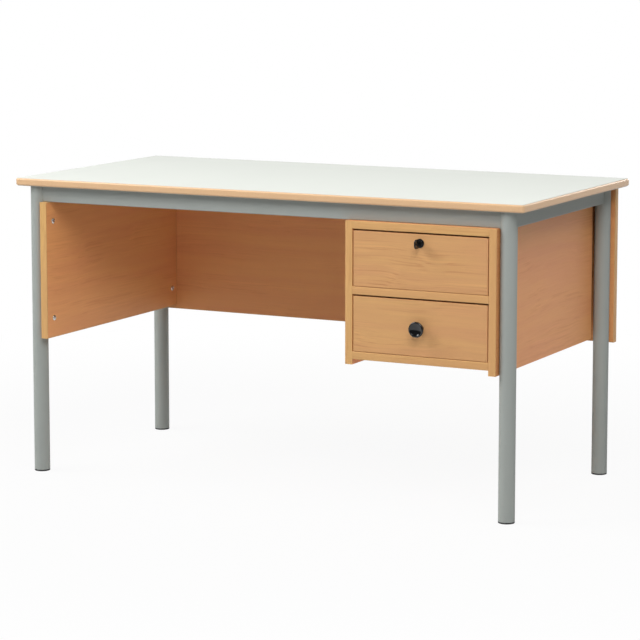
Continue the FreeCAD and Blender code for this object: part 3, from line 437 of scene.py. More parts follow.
def plywood(name, colour, thickness_axis, ply):
    """Birch plywood: plies of turning grain that show as stripes on the edges."""
    finish = Finish(name)
    place = finish.place()
    level = finish.axis(place, thickness_axis.upper()) / ply
    stripe = finish.node("ShaderNodeMath", {"operation": "PINGPONG"}, {0: level, 1: 1.0}).within(0.4, 0.6)
    streaks = finish.streaks(place, "y", 14, 380, detail=3.0)
    return finish.done(
        Base_Color=finish.shaded(colour, 0.80 + stripe * 0.18 + (streaks - 0.5) * 0.24),
        Roughness=0.52 + streaks * 0.1,
        Normal=finish.bump(streaks, 0.08, 0.0004),
    )


def hardboard(name, colour):
    """Hardboard: brown, matted fibre with a slick pressed face."""
    finish = Finish(name)
    place = finish.place()
    fibre = finish.noise(place, 420, 4.0, 1.2)
    return finish.done(
        Base_Color=finish.shaded(colour, 0.82 + fibre * 0.36),
        Roughness=0.42 + fibre * 0.2,
        Normal=finish.bump(fibre, 0.15, 0.0004),
    )


def zinc_plate(name, colour):
    """Bright zinc on steel: soft patches and fine scratches."""
    finish = Finish(name)
    place = finish.place()
    patches = finish.noise(place, 300, 2.0)
    scratches = finish.streaks(place, "x", 400, 3000)
    return finish.done(
        Base_Color=finish.shaded(colour, 0.86 + patches * 0.28),
        Metallic=1.0,
        Roughness=0.10 + scratches * 0.10,
        Normal=finish.bump(scratches, 0.06, 0.0001),
    )


def gloss_black(name, colour, roughness):
    """Moulded black plastic or lacquer with faint handling marks."""
    finish = Finish(name)
    place = finish.place()
    marks = finish.streaks(place, "z", 1600, 500, detail=2.0)
    return finish.done(
        Base_Color=finish.shaded(colour, 0.8 + marks * 0.4),
        Roughness=roughness + marks.within(0.45, 0.8) * 0.10,
        Coat_Weight=0.2,
        Coat_Roughness=0.05,
        Normal=finish.bump(marks, 0.02, 0.0001),
    )


def matte_black(name, colour):
    """Grained black plastic of the feet."""
    finish = Finish(name)
    grain = finish.noise(finish.place(), 1400, 2.0)
    return finish.done(
        Base_Color=finish.shaded(colour, 0.8 + grain * 0.4),
        Roughness=0.5 + grain * 0.15,
        Normal=finish.bump(grain, 0.2, 0.0002),
    )


# What a user would change


def metres(name, default, description):
    """A length that a user can set."""
    return FloatProperty(
        name=name, description=description, default=default, min=0, precision=5, unit="LENGTH"
    )


def tint(name, default, description):
    """A colour that a user can set."""
    return FloatVectorProperty(
        name=name, description=description, default=default, size=3, min=0, max=1, subtype="COLOR"
    )


def watts(name, default, description):
    """A lamp's power that a user can set."""
    return FloatProperty(name=name, description=description, default=default, min=0, unit="POWER")


def spot(name, default, description):
    """A place that a user can set."""
    return FloatVectorProperty(name=name, description=description, default=default, subtype="TRANSLATION")


def bearing(name, degrees, description):
    """An angle that a user can set."""
    return FloatProperty(name=name, description=description, default=radians(degrees), subtype="ANGLE")


def figure(name, default, description, unit="NONE"):
    """A number that a user can set."""
    return FloatProperty(name=name, description=description, default=default, unit=unit)


class DeskShapes(bpy.types.PropertyGroup):
    """Sizes that the CAD boxes don't give."""

    steps: IntProperty(name="Steps", description="Points round a turned piece", default=64, min=24)
    leg_wall: metres("Leg wall", 0.002, "Wall of the leg tube")
    edge_bulge: metres("Edge bulge", 0.004, "How far the worktop's edge stands out, and its rounds' radius")
    top_corner: metres("Top corner", 0.004, "Plan radius of the laminate's corners")
    laminate_arris: metres("Laminate arris", 0.0003, "Bevel on the laminate's edge")
    edging: metres("Edging", 0.002, "Thickness of the edging bands")
    arris: metres("Arris", 0.001, "Radius of the edging's arrises")
    weld_bead: metres("Weld bead", 0.0022, "Radius of a weld bead")
    weld_ripple: metres("Weld ripple", 0.0026, "Distance between the ripples of a weld")
    foot_bevel: metres("Foot bevel", 0.001, "Rounding of the feet's edges")
    panel_screw_head: metres("Panel screw head", 0.014, "Diameter of a panel screw's round head")
    panel_screw_rise: metres("Panel screw rise", 0.003, "Height of that head")
    screw_head: metres("Screw head", 0.009, "Diameter of a hanging screw's sunk head")
    screw_shank: metres("Screw shank", 0.005, "Diameter of a panel or hanging screw's shank")
    runner_screw_head: metres("Runner screw head", 0.008, "Diameter of a runner screw's head")
    runner_screw_shank: metres("Runner screw shank", 0.004, "Diameter of a runner screw's shank")
    cam_screw_shank: metres("Cam screw shank", 0.003, "Diameter of the cam screw's shank")
    hanger_inset: metres("Hanger inset", 0.1, "Front hanging screws from the pedestal's outer faces")
    screw_inset: metres("Screw inset", 0.05, "Hanging screws from the pedestal's upper edge")
    ply: metres("Ply", 0.0015, "One ply of the drawers' plywood")
    knob_foot: metres("Knob foot", 0.022, "Diameter of the knob's foot")
    knob_neck: metres("Knob neck", 0.017, "Diameter of the knob's waist")
    knob_neck_rise: metres("Knob neck rise", 0.005, "Height of the waist above the drawer front")
    knob_side: metres("Knob side", 0.005, "Height of the knob's side with its lip")
    knob_lip: metres("Knob lip", 0.003, "Radius of the knob's lip")
    knob_dish: metres("Knob dish", 0.004, "Depth of the knob's dished face")
    knob_round: metres("Knob round", 0.0006, "Radius of the knob's small rounds")
    lock_neck: metres("Lock neck", 0.018, "Diameter of the lock's threaded neck")
    lock_thread: metres("Lock thread", 0.0004, "Depth of that thread")
    lock_round: metres("Lock round", 0.0007, "Radius of the lock flange's edge")
    barrel_neck: metres("Barrel neck", 0.012, "Diameter of the barrel behind its head")
    barrel_play: metres("Barrel play", 0.00005, "Play round the barrel")
    barrel_seat: metres("Barrel seat", 0.003, "Depth of the recess for the barrel's head")
    barrel_proud: metres("Barrel proud", 0.0005, "How far the barrel stands out of the flange")
    barrel_spigot: metres("Barrel spigot", 0.007, "Diameter of the spigot that carries the cam")
    barrel_bevel: metres("Barrel bevel", 0.0006, "Bevel on the barrel's head")
    keyway_depth: metres("Keyway depth", 0.02, "Depth of the keyway")
    keyway_play: metres("Keyway play", 0.0006, "What the keyway is wider and taller than the blade")
    keyway_round: metres("Keyway round", 0.0003, "Radius of the keyway's corners")
    keyway_bevel: metres("Keyway bevel", 0.0002, "Depth of the bevel at the keyway's mouth")
    bow_corner: metres("Bow corner", 0.0078, "Radius of the key bow's corners")
    bow_edge: metres("Bow edge", 0.0011, "Radius of the key bow's edges")
    bow_sink: metres("Bow sink", 0.0005, "How deep the bow's faces are sunk")
    ring_hole: metres("Ring hole", 0.004, "Diameter of the hole in the bow")
    ring_inset: metres("Ring inset", 0.006, "That hole's middle from the bow's end")
    blade_tuck: metres("Blade tuck", 0.001, "How far the visible blade runs into the bow")
    notch_reach: metres("Notch reach", 0.0009, "Half the width of a notch in the blade")
    notch_depth: metres("Notch depth", 0.0011, "Depth of a notch")
    nose_length: metres("Nose length", 0.002, "Length of the blade's rounded nose")
    nose_drop: metres("Nose drop", 0.0016, "How much the nose loses above and below")


class DeskFinishes(bpy.types.PropertyGroup):
    """Colours of the finishes."""

    frame: tint("Frame", linear(163, 168, 164), "Powder paint on the tube frame")
    top: tint("Top", linear(219, 222, 216), "Laminate of the worktop")
    balancer: tint("Balancer", linear(196, 193, 186), "Laminate under the worktop")
    core: tint("Core", linear(221, 181, 139), "Lacquered edge of the worktop")
    front: tint("Drawer fronts", linear(209, 158, 108), "Beech of the drawer fronts")
    panel: tint("Panels", linear(231, 160, 105), "Beech of the panels and the pedestal")
    edging: tint("Edging", linear(213, 166, 109), "Beech of the edging bands")
    box: tint("Drawer boxes", linear(214, 184, 142), "Plywood of the drawers")
    runner: tint("Runners", linear(190, 148, 100), "Hardwood of the runners")
    hardboard: tint("Hardboard", linear(138, 98, 66), "Drawer bases and the pedestal's back")
    black: tint("Black", (0.007, 0.007, 0.0075), "Knob, key bow and lock")
    foot: tint("Feet", (0.02, 0.02, 0.021), "Moulded feet")
    zinc: tint("Zinc", linear(200, 200, 196), "Screws, nut and cam")


class DeskStudio(bpy.types.PropertyGroup):
    """Camera, lamps and floor."""

    eye: spot("Eye", (2.971, -5.830, 1.419), "Place of the camera")
    heading: bearing("Heading", 27.0, "Camera's turn about Z")
    dip: bearing("Dip", 7.47, "Camera's tilt below the level")
    lens: figure("Lens", 145.5, "Focal length in millimetres", "CAMERA")
    shift: figure("Shift", -0.10, "Upright shift of the picture")
    aim: spot("Aim", (0, 0, 0.5), "Where the lamps point")
    left_lamp: watts("Left lamp", 190, "Power of the large lamp on the left")
    left_place: spot("Left place", (-3.05, -1.76, 3.46), "Place of the large lamp")
    left_size: metres("Left size", 3.0, "Side of the large lamp")
    front_lamp: watts("Front lamp", 111, "Power of the lamp in front")
    front_place: spot("Front place", (1.75, -2.97, 3.46), "Place of the lamp in front")
    front_size: metres("Front size", 2.6, "Side of the lamp in front")
    right_lamp: watts("Right lamp", 55, "Power of the lamp on the right")
    right_place: spot("Right place", (2.60, -0.46, 4.27), "Place of the lamp on the right")
    right_size: metres("Right size", 2.2, "Side of the lamp on the right")
    rear_lamp: watts("Rear lamp", 60, "Power of the lamp behind")
    rear_place: spot("Rear place", (1.12, 4.18, 2.07), "Place of the lamp behind")
    rear_size: metres("Rear size", 2.0, "Side of the lamp behind")
    room_front: figure("Room in front", 0.03, "Light of the room in front")
    room_rear: figure("Room behind", 0.12, "Light of the room behind")
    floor: tint("Floor", (0.6, 0.6, 0.6), "Floor under the desk")
    floor_reach: metres("Floor reach", 60.0, "Half the side of the floor")
    sheet_end: metres("Sheet end", 3.1, "How far in front of the desk mirrors see the white sheet")
    sheet_fade: metres("Sheet fade", 0.3, "Width of the sheet's soft end")
    floor_glow: figure("Floor glow", 0.93, "Share of plain white under the desk")
    fade_start: metres("Fade start", 1.0, "Distance from the desk's middle where its shadow starts to fade")
    fade_end: metres("Fade end", 2.4, "Distance where nothing of the shadow is left")


def shapes():
    """The sizes that the scene holds."""
    return bpy.context.scene.desk_shapes


def finishes():
    """The colours that the scene holds."""
    return bpy.context.scene.desk_finishes


def studio():
    """The camera, lamps and floor that the scene holds."""
    return bpy.context.scene.desk_studio


def stock(name, maker, *details):
    """A finish that several pieces share, made the first time it is asked for.
    The CAD frame brings materials of its own under its slots' names, so these have a longer one."""
    title = f"desk_{name}"
    return bpy.data.materials.get(title) or maker(title, *details)


def frame_paint():
    """Paint of the legs, the rails and their welds."""
    return stock("frame_paint", powder_coat, finishes().frame)


def zinc():
    """Plate of the screws, the nut and the cam."""
    return stock("zinc", zinc_plate, finishes().zinc)


def black():
    """Plastic of the knob and the key's bow."""
    return stock("black_plastic", gloss_black, finishes().black, 0.10)


def beech_edging(axis):
    """Edging of the panels and the pedestal, its grain along an axis."""
    return stock(f"beech_edging_{axis}", beech, finishes().edging, axis, (0.3, 1.7, 2.9), 0.7)


def beech_panel(axis):
    """Faces of the panels and the pedestal, their grain along an axis."""
    return stock(f"beech_panel_{axis}", beech, finishes().panel, axis, (4.1, 0.6, 1.3), 0.5)


def dowel_wood():
    """Wood of the dowels."""
    return stock("dowel_wood", beech, finishes().box, "x", (2.0, 2.0, 1.0))


def fibre_sheet():
    """Hardboard of the drawer bases and the pedestal's back."""
    return stock("hardboard", hardboard, finishes().hardboard)


# Forms


def upright(shell, node):
    """A turned shell stood on the lower end of a CAD node."""
    at = middle_of(node)
    at[2] = span(node)[0][2]
    return shell.stood(at)


def to_front(shell, node, foot):
    """A turned shell laid with its axis to the front, in line with a CAD node, its foot at a depth."""
    at = middle_of(node)
    at[1] = foot
    return shell.stood(at, X, Z, -Y)


def tube(node, wall):
    """A round tube: its outer and inner wall turned from one closed line of radius and height."""
    low, high = span(node)
    radius = (high[0] - low[0]) / 2
    tall = high[2] - low[2]
    line = [(radius, 0), (radius, tall), (radius - wall, tall), (radius - wall, 0)]
    return upright(skin(rings_of(line, shapes().steps), joined=True), node)


def foot_shell(name, bevel, wall):
    """A foot turned from a line: a disc with a rounded edge, and a hollow plug inside the tube.
    The plug's play is a tenth of the bevel, its wall is one and a half times the tube's, and its hollow
    ends a disc's height above the disc."""
    node = f"{name}_foot"
    low, high = span(node)
    radius = (high[0] - low[0]) / 2
    disc = span(f"{name}_leg")[0][2] - low[2]
    plug = radius - wall - bevel / 10
    tall = high[2] - low[2]
    hollow = plug - wall * 1.5
    floor = disc * 2
    line = [(0, 0), *arc((radius - bevel, bevel), bevel, -pi / 2, 0, ARRIS_STEPS)]
    line += [(radius, disc), (plug, disc), (plug, tall - bevel), (plug - bevel, tall), (hollow, tall)]
    line += [(hollow, floor), (0, floor)]
    return upright(skin(rings_of(line, shapes().steps), "pole", "pole"), node)


def weld(path, out, bead, ripple):
    """A bead along a path: a small circle whose radius swells with each ripple and fades at both ends.
    out is the direction at each point that leads away from the metal it sits on."""
    step = np.gradient(path, axis=0)
    step /= np.linalg.norm(step, axis=1, keepdims=True)
    side = np.cross(step, out)
    run = np.cumsum(np.linalg.norm(np.diff(path, axis=0, prepend=path[:1]), axis=1))
    fade = smooth_step(0, bead * 2, run) * smooth_step(0, bead * 2, run[-1] - run)
    swell_share = 0.18
    radius = bead * fade * (1 - swell_share + swell_share * np.abs(np.cos(run * pi / ripple)))
    angle = np.arange(WELD_SIDES) * tau / WELD_SIDES
    rings = (
        path[:, None]
        + radius[:, None, None]
        * (np.cos(angle)[:, None] * out[:, None] + np.sin(angle)[:, None] * side[:, None])
    )
    return skin(rings, "pole", "pole")


def rail_path(width, tall, drop):
    """The two upright sides and the underside of a rail's outline, as places across and up.
    The outline starts from its top, and what lies above the drop is left out."""
    corner = width / 8
    line = rounded_rectangle(width, tall, corner, CORNER_STEPS, RAIL_STEPS)
    line = np.roll(line, -line[:, 1].argmax(), axis=0)
    return line[line[:, 1] < tall / 2 - drop]


def soft_edge(radius, thickness):
    """A worktop's edge section, as places outwards and up: a quarter circle, an upright, a quarter circle."""
    lower = arc((0, radius), radius, -pi / 2, 0, EDGE_STEPS)
    upper = arc((0, thickness - radius), radius, 0, pi / 2, EDGE_STEPS)
    return np.vstack([lower, upper])


def slab(low, high, corner, section):
    """A sheet with round corners: its edge section carried round the outline, flat above and below.
    Each corner is a quarter circle of the corner's radius plus the section's reach."""
    middle = (low + high) / 2
    size = (high - low)[:2]
    outlines = [
        (rounded_rectangle(*(size + 2 * reach), corner + reach, CORNER_STEPS, 1), up) for reach, up in section
    ]
    return skin(stacked(outlines)).stood([middle[0], middle[1], low[2]])


def band(node, thickness_axis, width, arris):
    """Edging round a board: a strip with two round arrises, carried round a rectangle with mitred corners.
    The section runs from the outer edge inwards, and across the board's thickness.
    Gives the two level lengths, then the two upright ones."""
    low, high = span(node)
    flat = [axis for axis in range(3) if axis != thickness_axis]
    thick = high[thickness_axis] - low[thickness_axis]
    section = np.vstack(
        [
            arc((arris, arris), arris, 1.5 * pi, pi, ARRIS_STEPS),
            arc((arris, thick - arris), arris, pi, pi / 2, ARRIS_STEPS),
            [(width, thick), (width, 0)],
        ]
    )
    corners = []
    for right, up in ((0, 0), (1, 0), (1, 1), (0, 1)):
        ring = np.empty((len(section), 3))
        for axis, end in zip(flat, (right, up)):
            ring[:, axis] = high[axis] - section[:, 0] if end else low[axis] + section[:, 0]
        ring[:, thickness_axis] = low[thickness_axis] + section[:, 1]
        corners.append(ring)
    sides = [skin([corner, following]) for corner, following in zip(corners, corners[1:] + corners[:1])]
    return sides[0::2], sides[1::2]


def strip(low, high, run, arris):
    """A front edging strip: a flat section with two round front arrises, drawn along X or Z."""
    across = 2 - run
    wide = high[across] - low[across]
    deep = high[1] - low[1]
    section = np.vstack(
        [
            arc((arris, arris), arris, 1.5 * pi, pi, ARRIS_STEPS),
            [(0, deep), (wide, deep)],
            arc((wide - arris, arris), arris, 0, -pi / 2, ARRIS_STEPS),
        ]
    )
    rings = np.empty((2, len(section), 3))
    rings[:, :, across] = low[across] + section[:, 0]
    rings[:, :, 1] = low[1] + section[:, 1]
    rings[:, :, run] = np.array([low[run], high[run]])[:, None]
    return skin(rings)


def cross_recess(rings, reach, slot, depth):
    """Sinks a cross into a head: two crossed slots whose walls slope, and whose floors rise from the middle
    to the ends by a share of the depth."""
    flat = np.abs(rings[..., :2])
    ease = slot / 2
    rise_share = 0.45
    long = 1 - smooth_step(reach - ease, reach, flat)
    narrow = 1 - smooth_step(slot - ease, slot, flat)
    arms = np.maximum(long[..., 0] * narrow[..., 1], long[..., 1] * narrow[..., 0])
    rings[..., 2] += depth * arms * (1 - rise_share * np.hypot(flat[..., 0], flat[..., 1]) / reach)
    return rings


def sunk_screw(head, shank, length, x, y, z, at):
    """A countersunk screw turned from a line, with a cross in its head and a thread on its shank.
    The thread is a ridge whose height follows the angle plus the distance along the shank."""
    rim = head * 0.055
    cone = (head - shank) / 2
    pitch = shank * 0.36
    thread_share = 0.22
    cross_reach = head * 0.33
    cross_depth = head * 0.2
    across = np.linspace(0, head / 2, HEAD_RINGS)
    face = rings_of(np.column_stack([across, across * 0]), SCREW_SIDES)
    top = cross_recess(face, cross_reach, rim, cross_depth)
    under = rings_of([(head / 2, rim)], SCREW_SIDES)
    run = np.linspace(rim + cone, length - shank, SHANK_RINGS)
    body = rings_of(np.column_stack([run * 0 + shank / 2, run]), SCREW_SIDES)
    angle = np.arange(SCREW_SIDES) * tau / SCREW_SIDES
    ridge = 0.5 + 0.5 * np.cos(angle + run[:, None] * tau / pitch)
    body[..., :2] *= (1 - thread_share * (1 - ridge) ** 2)[..., None]
    tip = rings_of([(0, length)], SCREW_SIDES)
    return skin(np.concatenate([top, under, body, tip]), "pole", "pole").stood(at, x, y, z)


def pan_screw(head, rise, shank, length, x, y, z, at):
    """A screw with a domed head that stands on its seat, with a cross in it.
    The dome's height is the cosine of its angle, to a power that makes it blunter."""
    dome = np.linspace(0, pi / 2, DOME_RINGS)
    bluntness = 0.7
    cross_reach = head * 0.3
    slot = head * 0.055
    cross_depth = rise * 0.7
    line = np.column_stack([head / 2 * np.sin(dome), -rise * np.cos(dome) ** bluntness])
    top = cross_recess(rings_of(line, SCREW_SIDES), cross_reach, slot, cross_depth)
    rest = rings_of([(shank / 2, 0), (shank / 2, length - shank / 2), (0, length)], SCREW_SIDES)
    return skin(np.concatenate([top, rest]), "pole", "pole").stood(at, x, y, z)


def knob_shell():
    """A knob turned from a line: a foot, a waist that flares in an arc, a rounded lip and a dished face.
    The dish is part of a sphere that the lip's round meets smoothly, and the flare is part of a circle that
    leaves the waist upright."""
    form = shapes()
    low, high = span("knob")
    rim = (high[0] - low[0]) / 2
    tall = high[1] - low[1]
    small = form.knob_round
    foot = form.knob_foot / 2 - small
    neck = form.knob_neck / 2
    shoulder = tall - form.knob_side
    out = rim - neck
    rise = shoulder - form.knob_neck_rise
    flare = (out**2 + rise**2) / (2 * out)
    swing = np.arcsin(rise / flare)
    lip = form.knob_lip
    dish = form.knob_dish
    across = rim - lip
    bowl = (across**2 + (lip - dish) ** 2 - lip**2) / (2 * dish)
    crest = np.arctan2(bowl - dish + lip, -across)
    line = np.vstack(
        [
            [(0, 0), (foot, 0)],
            arc((foot, small), small, -pi / 2, 0.5, FINE_STEPS),
            arc((neck + flare, form.knob_neck_rise), flare, pi, pi - swing, FLARE_STEPS),
            arc((rim - small, shoulder + small), small, -pi / 3, 0, FINE_STEPS),
            arc((across, tall - lip), lip, 0, crest, LIP_STEPS),
            arc((0, tall - dish + bowl), bowl, crest - pi, -pi / 2, DISH_STEPS)[1:],
        ]
    )
    return to_front(skin(rings_of(line, KNOB_SIDES), "pole", "pole"), "knob", high[1])


def lock_housing_shell():
    """The lock's body turned from a closed line: a rounded flange in front, a threaded neck behind.
    The thread's radius falls and rises by turns, from the neck's end to the back of the drawer front."""
    form = shapes()
    low, high = span("lock_housing")
    face, back = (corner[1] for corner in span("upper_drawer_front"))
    barrel_low, barrel_high = span("lock_barrel")
    head = (barrel_high[0] - barrel_low[0]) / 2 + form.barrel_play
    bore = form.barrel_neck / 2 + form.barrel_play
    neck = form.lock_neck / 2
    rim = (high[0] - low[0]) / 2
    front = face - low[1]
    rear = face - high[1]
    seat = front - form.barrel_seat
    edge = form.lock_round
    turns = np.arange(THREAD_TURNS + 1)
    depth = np.linspace(rear, face - back, THREAD_TURNS + 1)
    line = np.vstack(
        [
            [(bore, rear)],
            np.column_stack([neck - form.lock_thread * (turns % 2), depth]),
            [(neck, 0), (rim, 0)],
            arc((rim - edge, front - edge), edge, 0, pi / 2, ARRIS_STEPS),
            arc((head + edge / 2, front - edge / 2), edge / 2, pi / 2, pi, FINE_STEPS),
            [(head, seat), (bore, seat)],
        ]
    )
    return to_front(skin(rings_of(line, form.steps), joined=True), "lock_housing", face)


def barrel_shell():
    """The lock's barrel: rings from the keyway's rectangle to the round head and back along the body.
    Each point of a round ring lies in the direction of its own point of the rectangle."""
    form = shapes()
    low, high = span("lock_barrel")
    blade_low, blade_high = span("key_blade")
    face = span("upper_drawer_front")[0][1]
    front = face - low[1]
    rear = face - high[1]
    floor = front - form.keyway_depth
    seat = front - form.barrel_proud - form.barrel_seat + form.barrel_play
    shoulder = face - span("lock_cam")[0][1]
    wide, tall = (blade_high - blade_low)[[0, 2]] + form.keyway_play
    keyway = rounded_rectangle(wide, tall, form.keyway_round, *KEYWAY_STEPS)
    mouth = keyway * 1.06
    wheel = keyway / np.linalg.norm(keyway, axis=1, keepdims=True)
    head = wheel * (high[0] - low[0]) / 2
    neck = wheel * form.barrel_neck / 2
    spigot = wheel * form.barrel_spigot / 2
    outlines = [(keyway * 0, floor), (keyway, floor), (keyway, front - form.keyway_bevel)]
    outlines += [(mouth, front), (head - wheel * form.barrel_bevel, front)]
    outlines += [(head, front - form.barrel_bevel), (head, seat), (neck, seat), (neck, shoulder)]
    outlines += [(spigot, shoulder), (spigot, rear), (wheel * 0, rear)]
    return to_front(skin(stacked(outlines), "pole", "pole"), "lock_barrel", face)


def key_bow_shell():
    """A moulded bow: rings between a ring hole and a round-cornered outline, over both faces and the edges.
    The faces are sunk a little between a raised border and a collar round the hole. The edge's section is
    half a blunted ellipse: its reach is the sine of an angle, and its depth a low power of the cosine."""
    form = shapes()
    low, high = span("key_bow")
    size = high - low
    half = size[0] / 2
    edge = form.bow_edge
    outline = rounded_rectangle(size[1], size[2], form.bow_corner, BOW_STEPS, CORNER_STEPS)
    inner = outline * (1 - edge / (size[1] / 2))
    hole_at = np.array([form.ring_inset - size[1] / 2, 0])
    toward = outline - hole_at
    hole = hole_at + form.ring_hole / 2 * toward / np.linalg.norm(toward, axis=1, keepdims=True)
    out_shares = (0, 0.05, 0.16, 0.24, 0.80, 0.88)
    sink_shares = (0.55, 0, 0, 1, 1, 0)
    face = [
        (hole + (outline - hole) * out, half - form.bow_sink * sink)
        for out, sink in zip(out_shares, sink_shares)
    ]
    angle = np.linspace(0, pi, RIM_RINGS)
    rise = np.cos(angle)
    bluntness = 0.2
    depth = (half - edge) * np.sign(rise) * np.abs(rise) ** bluntness + edge * rise
    rim = [(inner + (outline - inner) * reach, up) for reach, up in zip(np.sin(angle), depth)]
    other_face = [(flat, -up) for flat, up in reversed(face)]
    return skin(stacked(face + rim + other_face), joined=True).stood(middle_of("key_bow"), Y, Z, X)


def key_blade_shell():
    """A key blade: a flat section with a milled groove in each side, its height cut by notches on the way.
    A notch is a wedge with a flat bottom, and the notches lie above and below by turns."""
    form = shapes()
    low, high = span("key_blade")
    half = (high - low) / 2
    tip = high[1]
    run = np.linspace(span("key_bow")[1][1] - form.blade_tuck, tip, BLADE_RINGS)
    notch_shares = np.array([0.15, 0.35, 0.6, 0.8])
    notches = span("lock_barrel")[0][1] + form.keyway_depth * notch_shares
    wedge_top = 1.15
    wedge = wedge_top - np.abs(run - notches[:, None]) / form.notch_reach
    cut = np.clip(wedge, 0, 1) * form.notch_depth
    nose = smooth_step(tip - form.nose_length, tip, run) * form.nose_drop
    upper = half[2] - cut[0] - cut[2] - nose
    lower = half[2] - cut[1] - cut[3] - nose
    web_share = 0.55
    wide = half[0] * np.array([1, 1, web_share, web_share, 1, 1, -1, -1, -web_share, -web_share, -1, -1])
    tall = np.array([-1, -0.2, -0.1, 0.25, 0.35, 1, 1, 0.35, 0.25, -0.1, -0.2, -1])
    up = np.where(tall > 0, tall * upper[:, None], tall * lower[:, None])
    rings = np.stack(np.broadcast_arrays(wide, run[:, None], up), axis=-1)
    at = middle_of("key_blade")
    at[1] = 0
    return skin(rings).stood(at)


# Operators


class DESK_OT_studio(bpy.types.Operator):
    """Floor, lamps, room light and camera"""

    bl_idname = "desk.studio"
    bl_label = "Studio"
    bl_options = {"REGISTER", "UNDO"}

    def execute(self, context):
        scene = context.scene
        scene.view_settings.view_transform = "Standard"
        stage = studio()
        self.floor(scene, stage)
        self.room(scene, stage)
        for side in LAMPS:
            self.lamp(scene, stage, side)
        self.camera(scene, stage)
        return {"FINISHED"}

    def floor(self, scene, stage):
        """A wide flat sheet. Near the desk the eye sees some of the shadow in it, further off plain white.
        Mirrors see it white too, up to where the sheet ends in front of the desk."""
        ground = bpy.data.meshes.new("floor")
        reach = stage.floor_reach
        corners = [(-reach, -reach, 0), (reach, -reach, 0), (reach, reach, 0), (-reach, reach, 0)]
        ground.from_pydata(corners, [], [(0, 1, 2, 3)])
        finish = Finish("floor")
        place = finish.place()
        grey = finish.colour(stage.floor)
        dull = finish.node("ShaderNodeBsdfDiffuse", sockets={"Color": grey, "Roughness": 0.0})
        white = finish.node("ShaderNodeEmission", sockets={"Color": (1, 1, 1, 1), "Strength": 1.0})
        sheet = finish.axis(place, "Y").within(-stage.sheet_end - stage.sheet_fade, -stage.sheet_end)
        away = finish.node("ShaderNodeVectorMath", {"operation": "LENGTH"}, {0: place}, "Value")
        glow = away.within(stage.fade_start, stage.fade_end, stage.floor_glow, 1.0)
        share = finish.seen(sheet) * glow
        mixed = finish.node("ShaderNodeMixShader", sockets={0: share, 1: dull, 2: white})
        ground.materials.append(finish.ended(mixed))
        made = bpy.data.objects.new("floor", ground)
        scene.collection.objects.link(made)

    def room(self, scene, stage):
        """A dim room, lighter behind than in front. The eye sees it white, and mirrors do low behind."""
        finish = Finish("room", bpy.data.worlds)
        place = finish.node("ShaderNodeTexCoord", output="Generated")
        behind = finish.axis(place, "Y")
        room = behind.within(-0.3, 0.5, stage.room_front, stage.room_rear)
        low_behind = finish.axis(place, "Z").within(0.14, 0.04) * behind.within(-0.2, 0.2)
        light = room + (1 - room) * finish.seen(low_behind)
        back = finish.node("ShaderNodeBackground", sockets={"Color": light, "Strength": 1.0})
        scene.world = finish.ended(back, "ShaderNodeOutputWorld")

    def lamp(self, scene, stage, side):
        """A square soft lamp turned to the desk."""
        name = f"{side}_lamp"
        at = getattr(stage, f"{side}_place")
        light = bpy.data.lights.new(name, "AREA")
        light.shape = "SQUARE"
        light.size = getattr(stage, f"{side}_size")
        light.energy = getattr(stage, name)
        made = bpy.data.objects.new(name, light)
        made.location = at
        made.rotation_euler = (Vector(stage.aim) - Vector(at)).to_track_quat("-Z", "Y").to_euler()
        scene.collection.objects.link(made)

    def camera(self, scene, stage):
        """The camera at the eye, upright but for its dip."""
        eye = bpy.data.cameras.new("camera")
        eye.lens = stage.lens
        eye.sensor_width = SENSOR
        eye.shift_y = stage.shift
        eye.clip_end = FARTHEST
        made = bpy.data.objects.new("camera", eye)
        made.location = stage.eye
        made.rotation_euler = (pi / 2 - stage.dip, 0, stage.heading)
        scene.collection.objects.link(made)
        scene.camera = made


class DESK_OT_tubes(bpy.types.Operator):
    """Legs, feet, rails and the welds between them"""

    bl_idname = "desk.tubes"
    bl_label = "Tube frame"
    bl_options = {"REGISTER", "UNDO"}

    def execute(self, context):
        form = shapes()
        finish = frame_paint()
        plastic = stock("foot_plastic", matte_black, finishes().foot)
        for name in LEGS:
            leg = f"{name}_leg"
            piece(f"{leg}_tube", [tube(leg, form.leg_wall)], finish, "frame", [leg])
            foot = foot_shell(name, form.foot_bevel, form.leg_wall)
            piece(f"{name}_foot_moulding", [foot], plastic, "frame", [f"{name}_foot"])
        paint(finish, "front_rail", "rear_rail", "left_rail", "right_rail", "pedestal_rail")
        piece("welds", self.welds(form), finish, "frame")
        return {"FINISHED"}

    def welds(self, form):
        """Beads down both sides and along the underside of every rail end, on the round of a leg or, for the
        cross rail, on the flat of the rail that it meets."""
        made = []
        for name in LEGS:
            low, high = span(f"{name}_leg")
            centre = middle_of(f"{name}_leg")
            radius = (high[0] - low[0]) / 2
            end, side = name.split("_")
            for rail, axis in ((f"{end}_rail", 0), (f"{side}_rail", 1)):
                rail_low, rail_high = span(rail)
                across = 1 - axis
                width = rail_high[across] - rail_low[across]
                tall = rail_high[2] - rail_low[2]
                line = rail_path(width, tall, form.weld_bead)
                toward = -np.sign(centre[axis])
                path = np.empty((len(line), 3))
                path[:, across] = centre[across] + line[:, 0]
                path[:, axis] = centre[axis] + toward * np.sqrt(radius**2 - line[:, 0] ** 2)
                path[:, 2] = middle_of(rail)[2] + line[:, 1]
                out = path - centre
                out[:, 2] = 0
                out /= np.linalg.norm(out, axis=1, keepdims=True)
                made.append(weld(path, out, form.weld_bead, form.weld_ripple))
        low, high = span("pedestal_rail")
        centre = middle_of("pedestal_rail")
        line = rail_path(high[0] - low[0], high[2] - low[2], form.weld_bead)
        for y, toward in ((low[1], Y), (high[1], -Y)):
            path = np.column_stack([centre[0] + line[:, 0], np.full(len(line), y), centre[2] + line[:, 1]])
            out = np.broadcast_to(toward, path.shape)
            made.append(weld(path, out, form.weld_bead, form.weld_ripple))
        return made


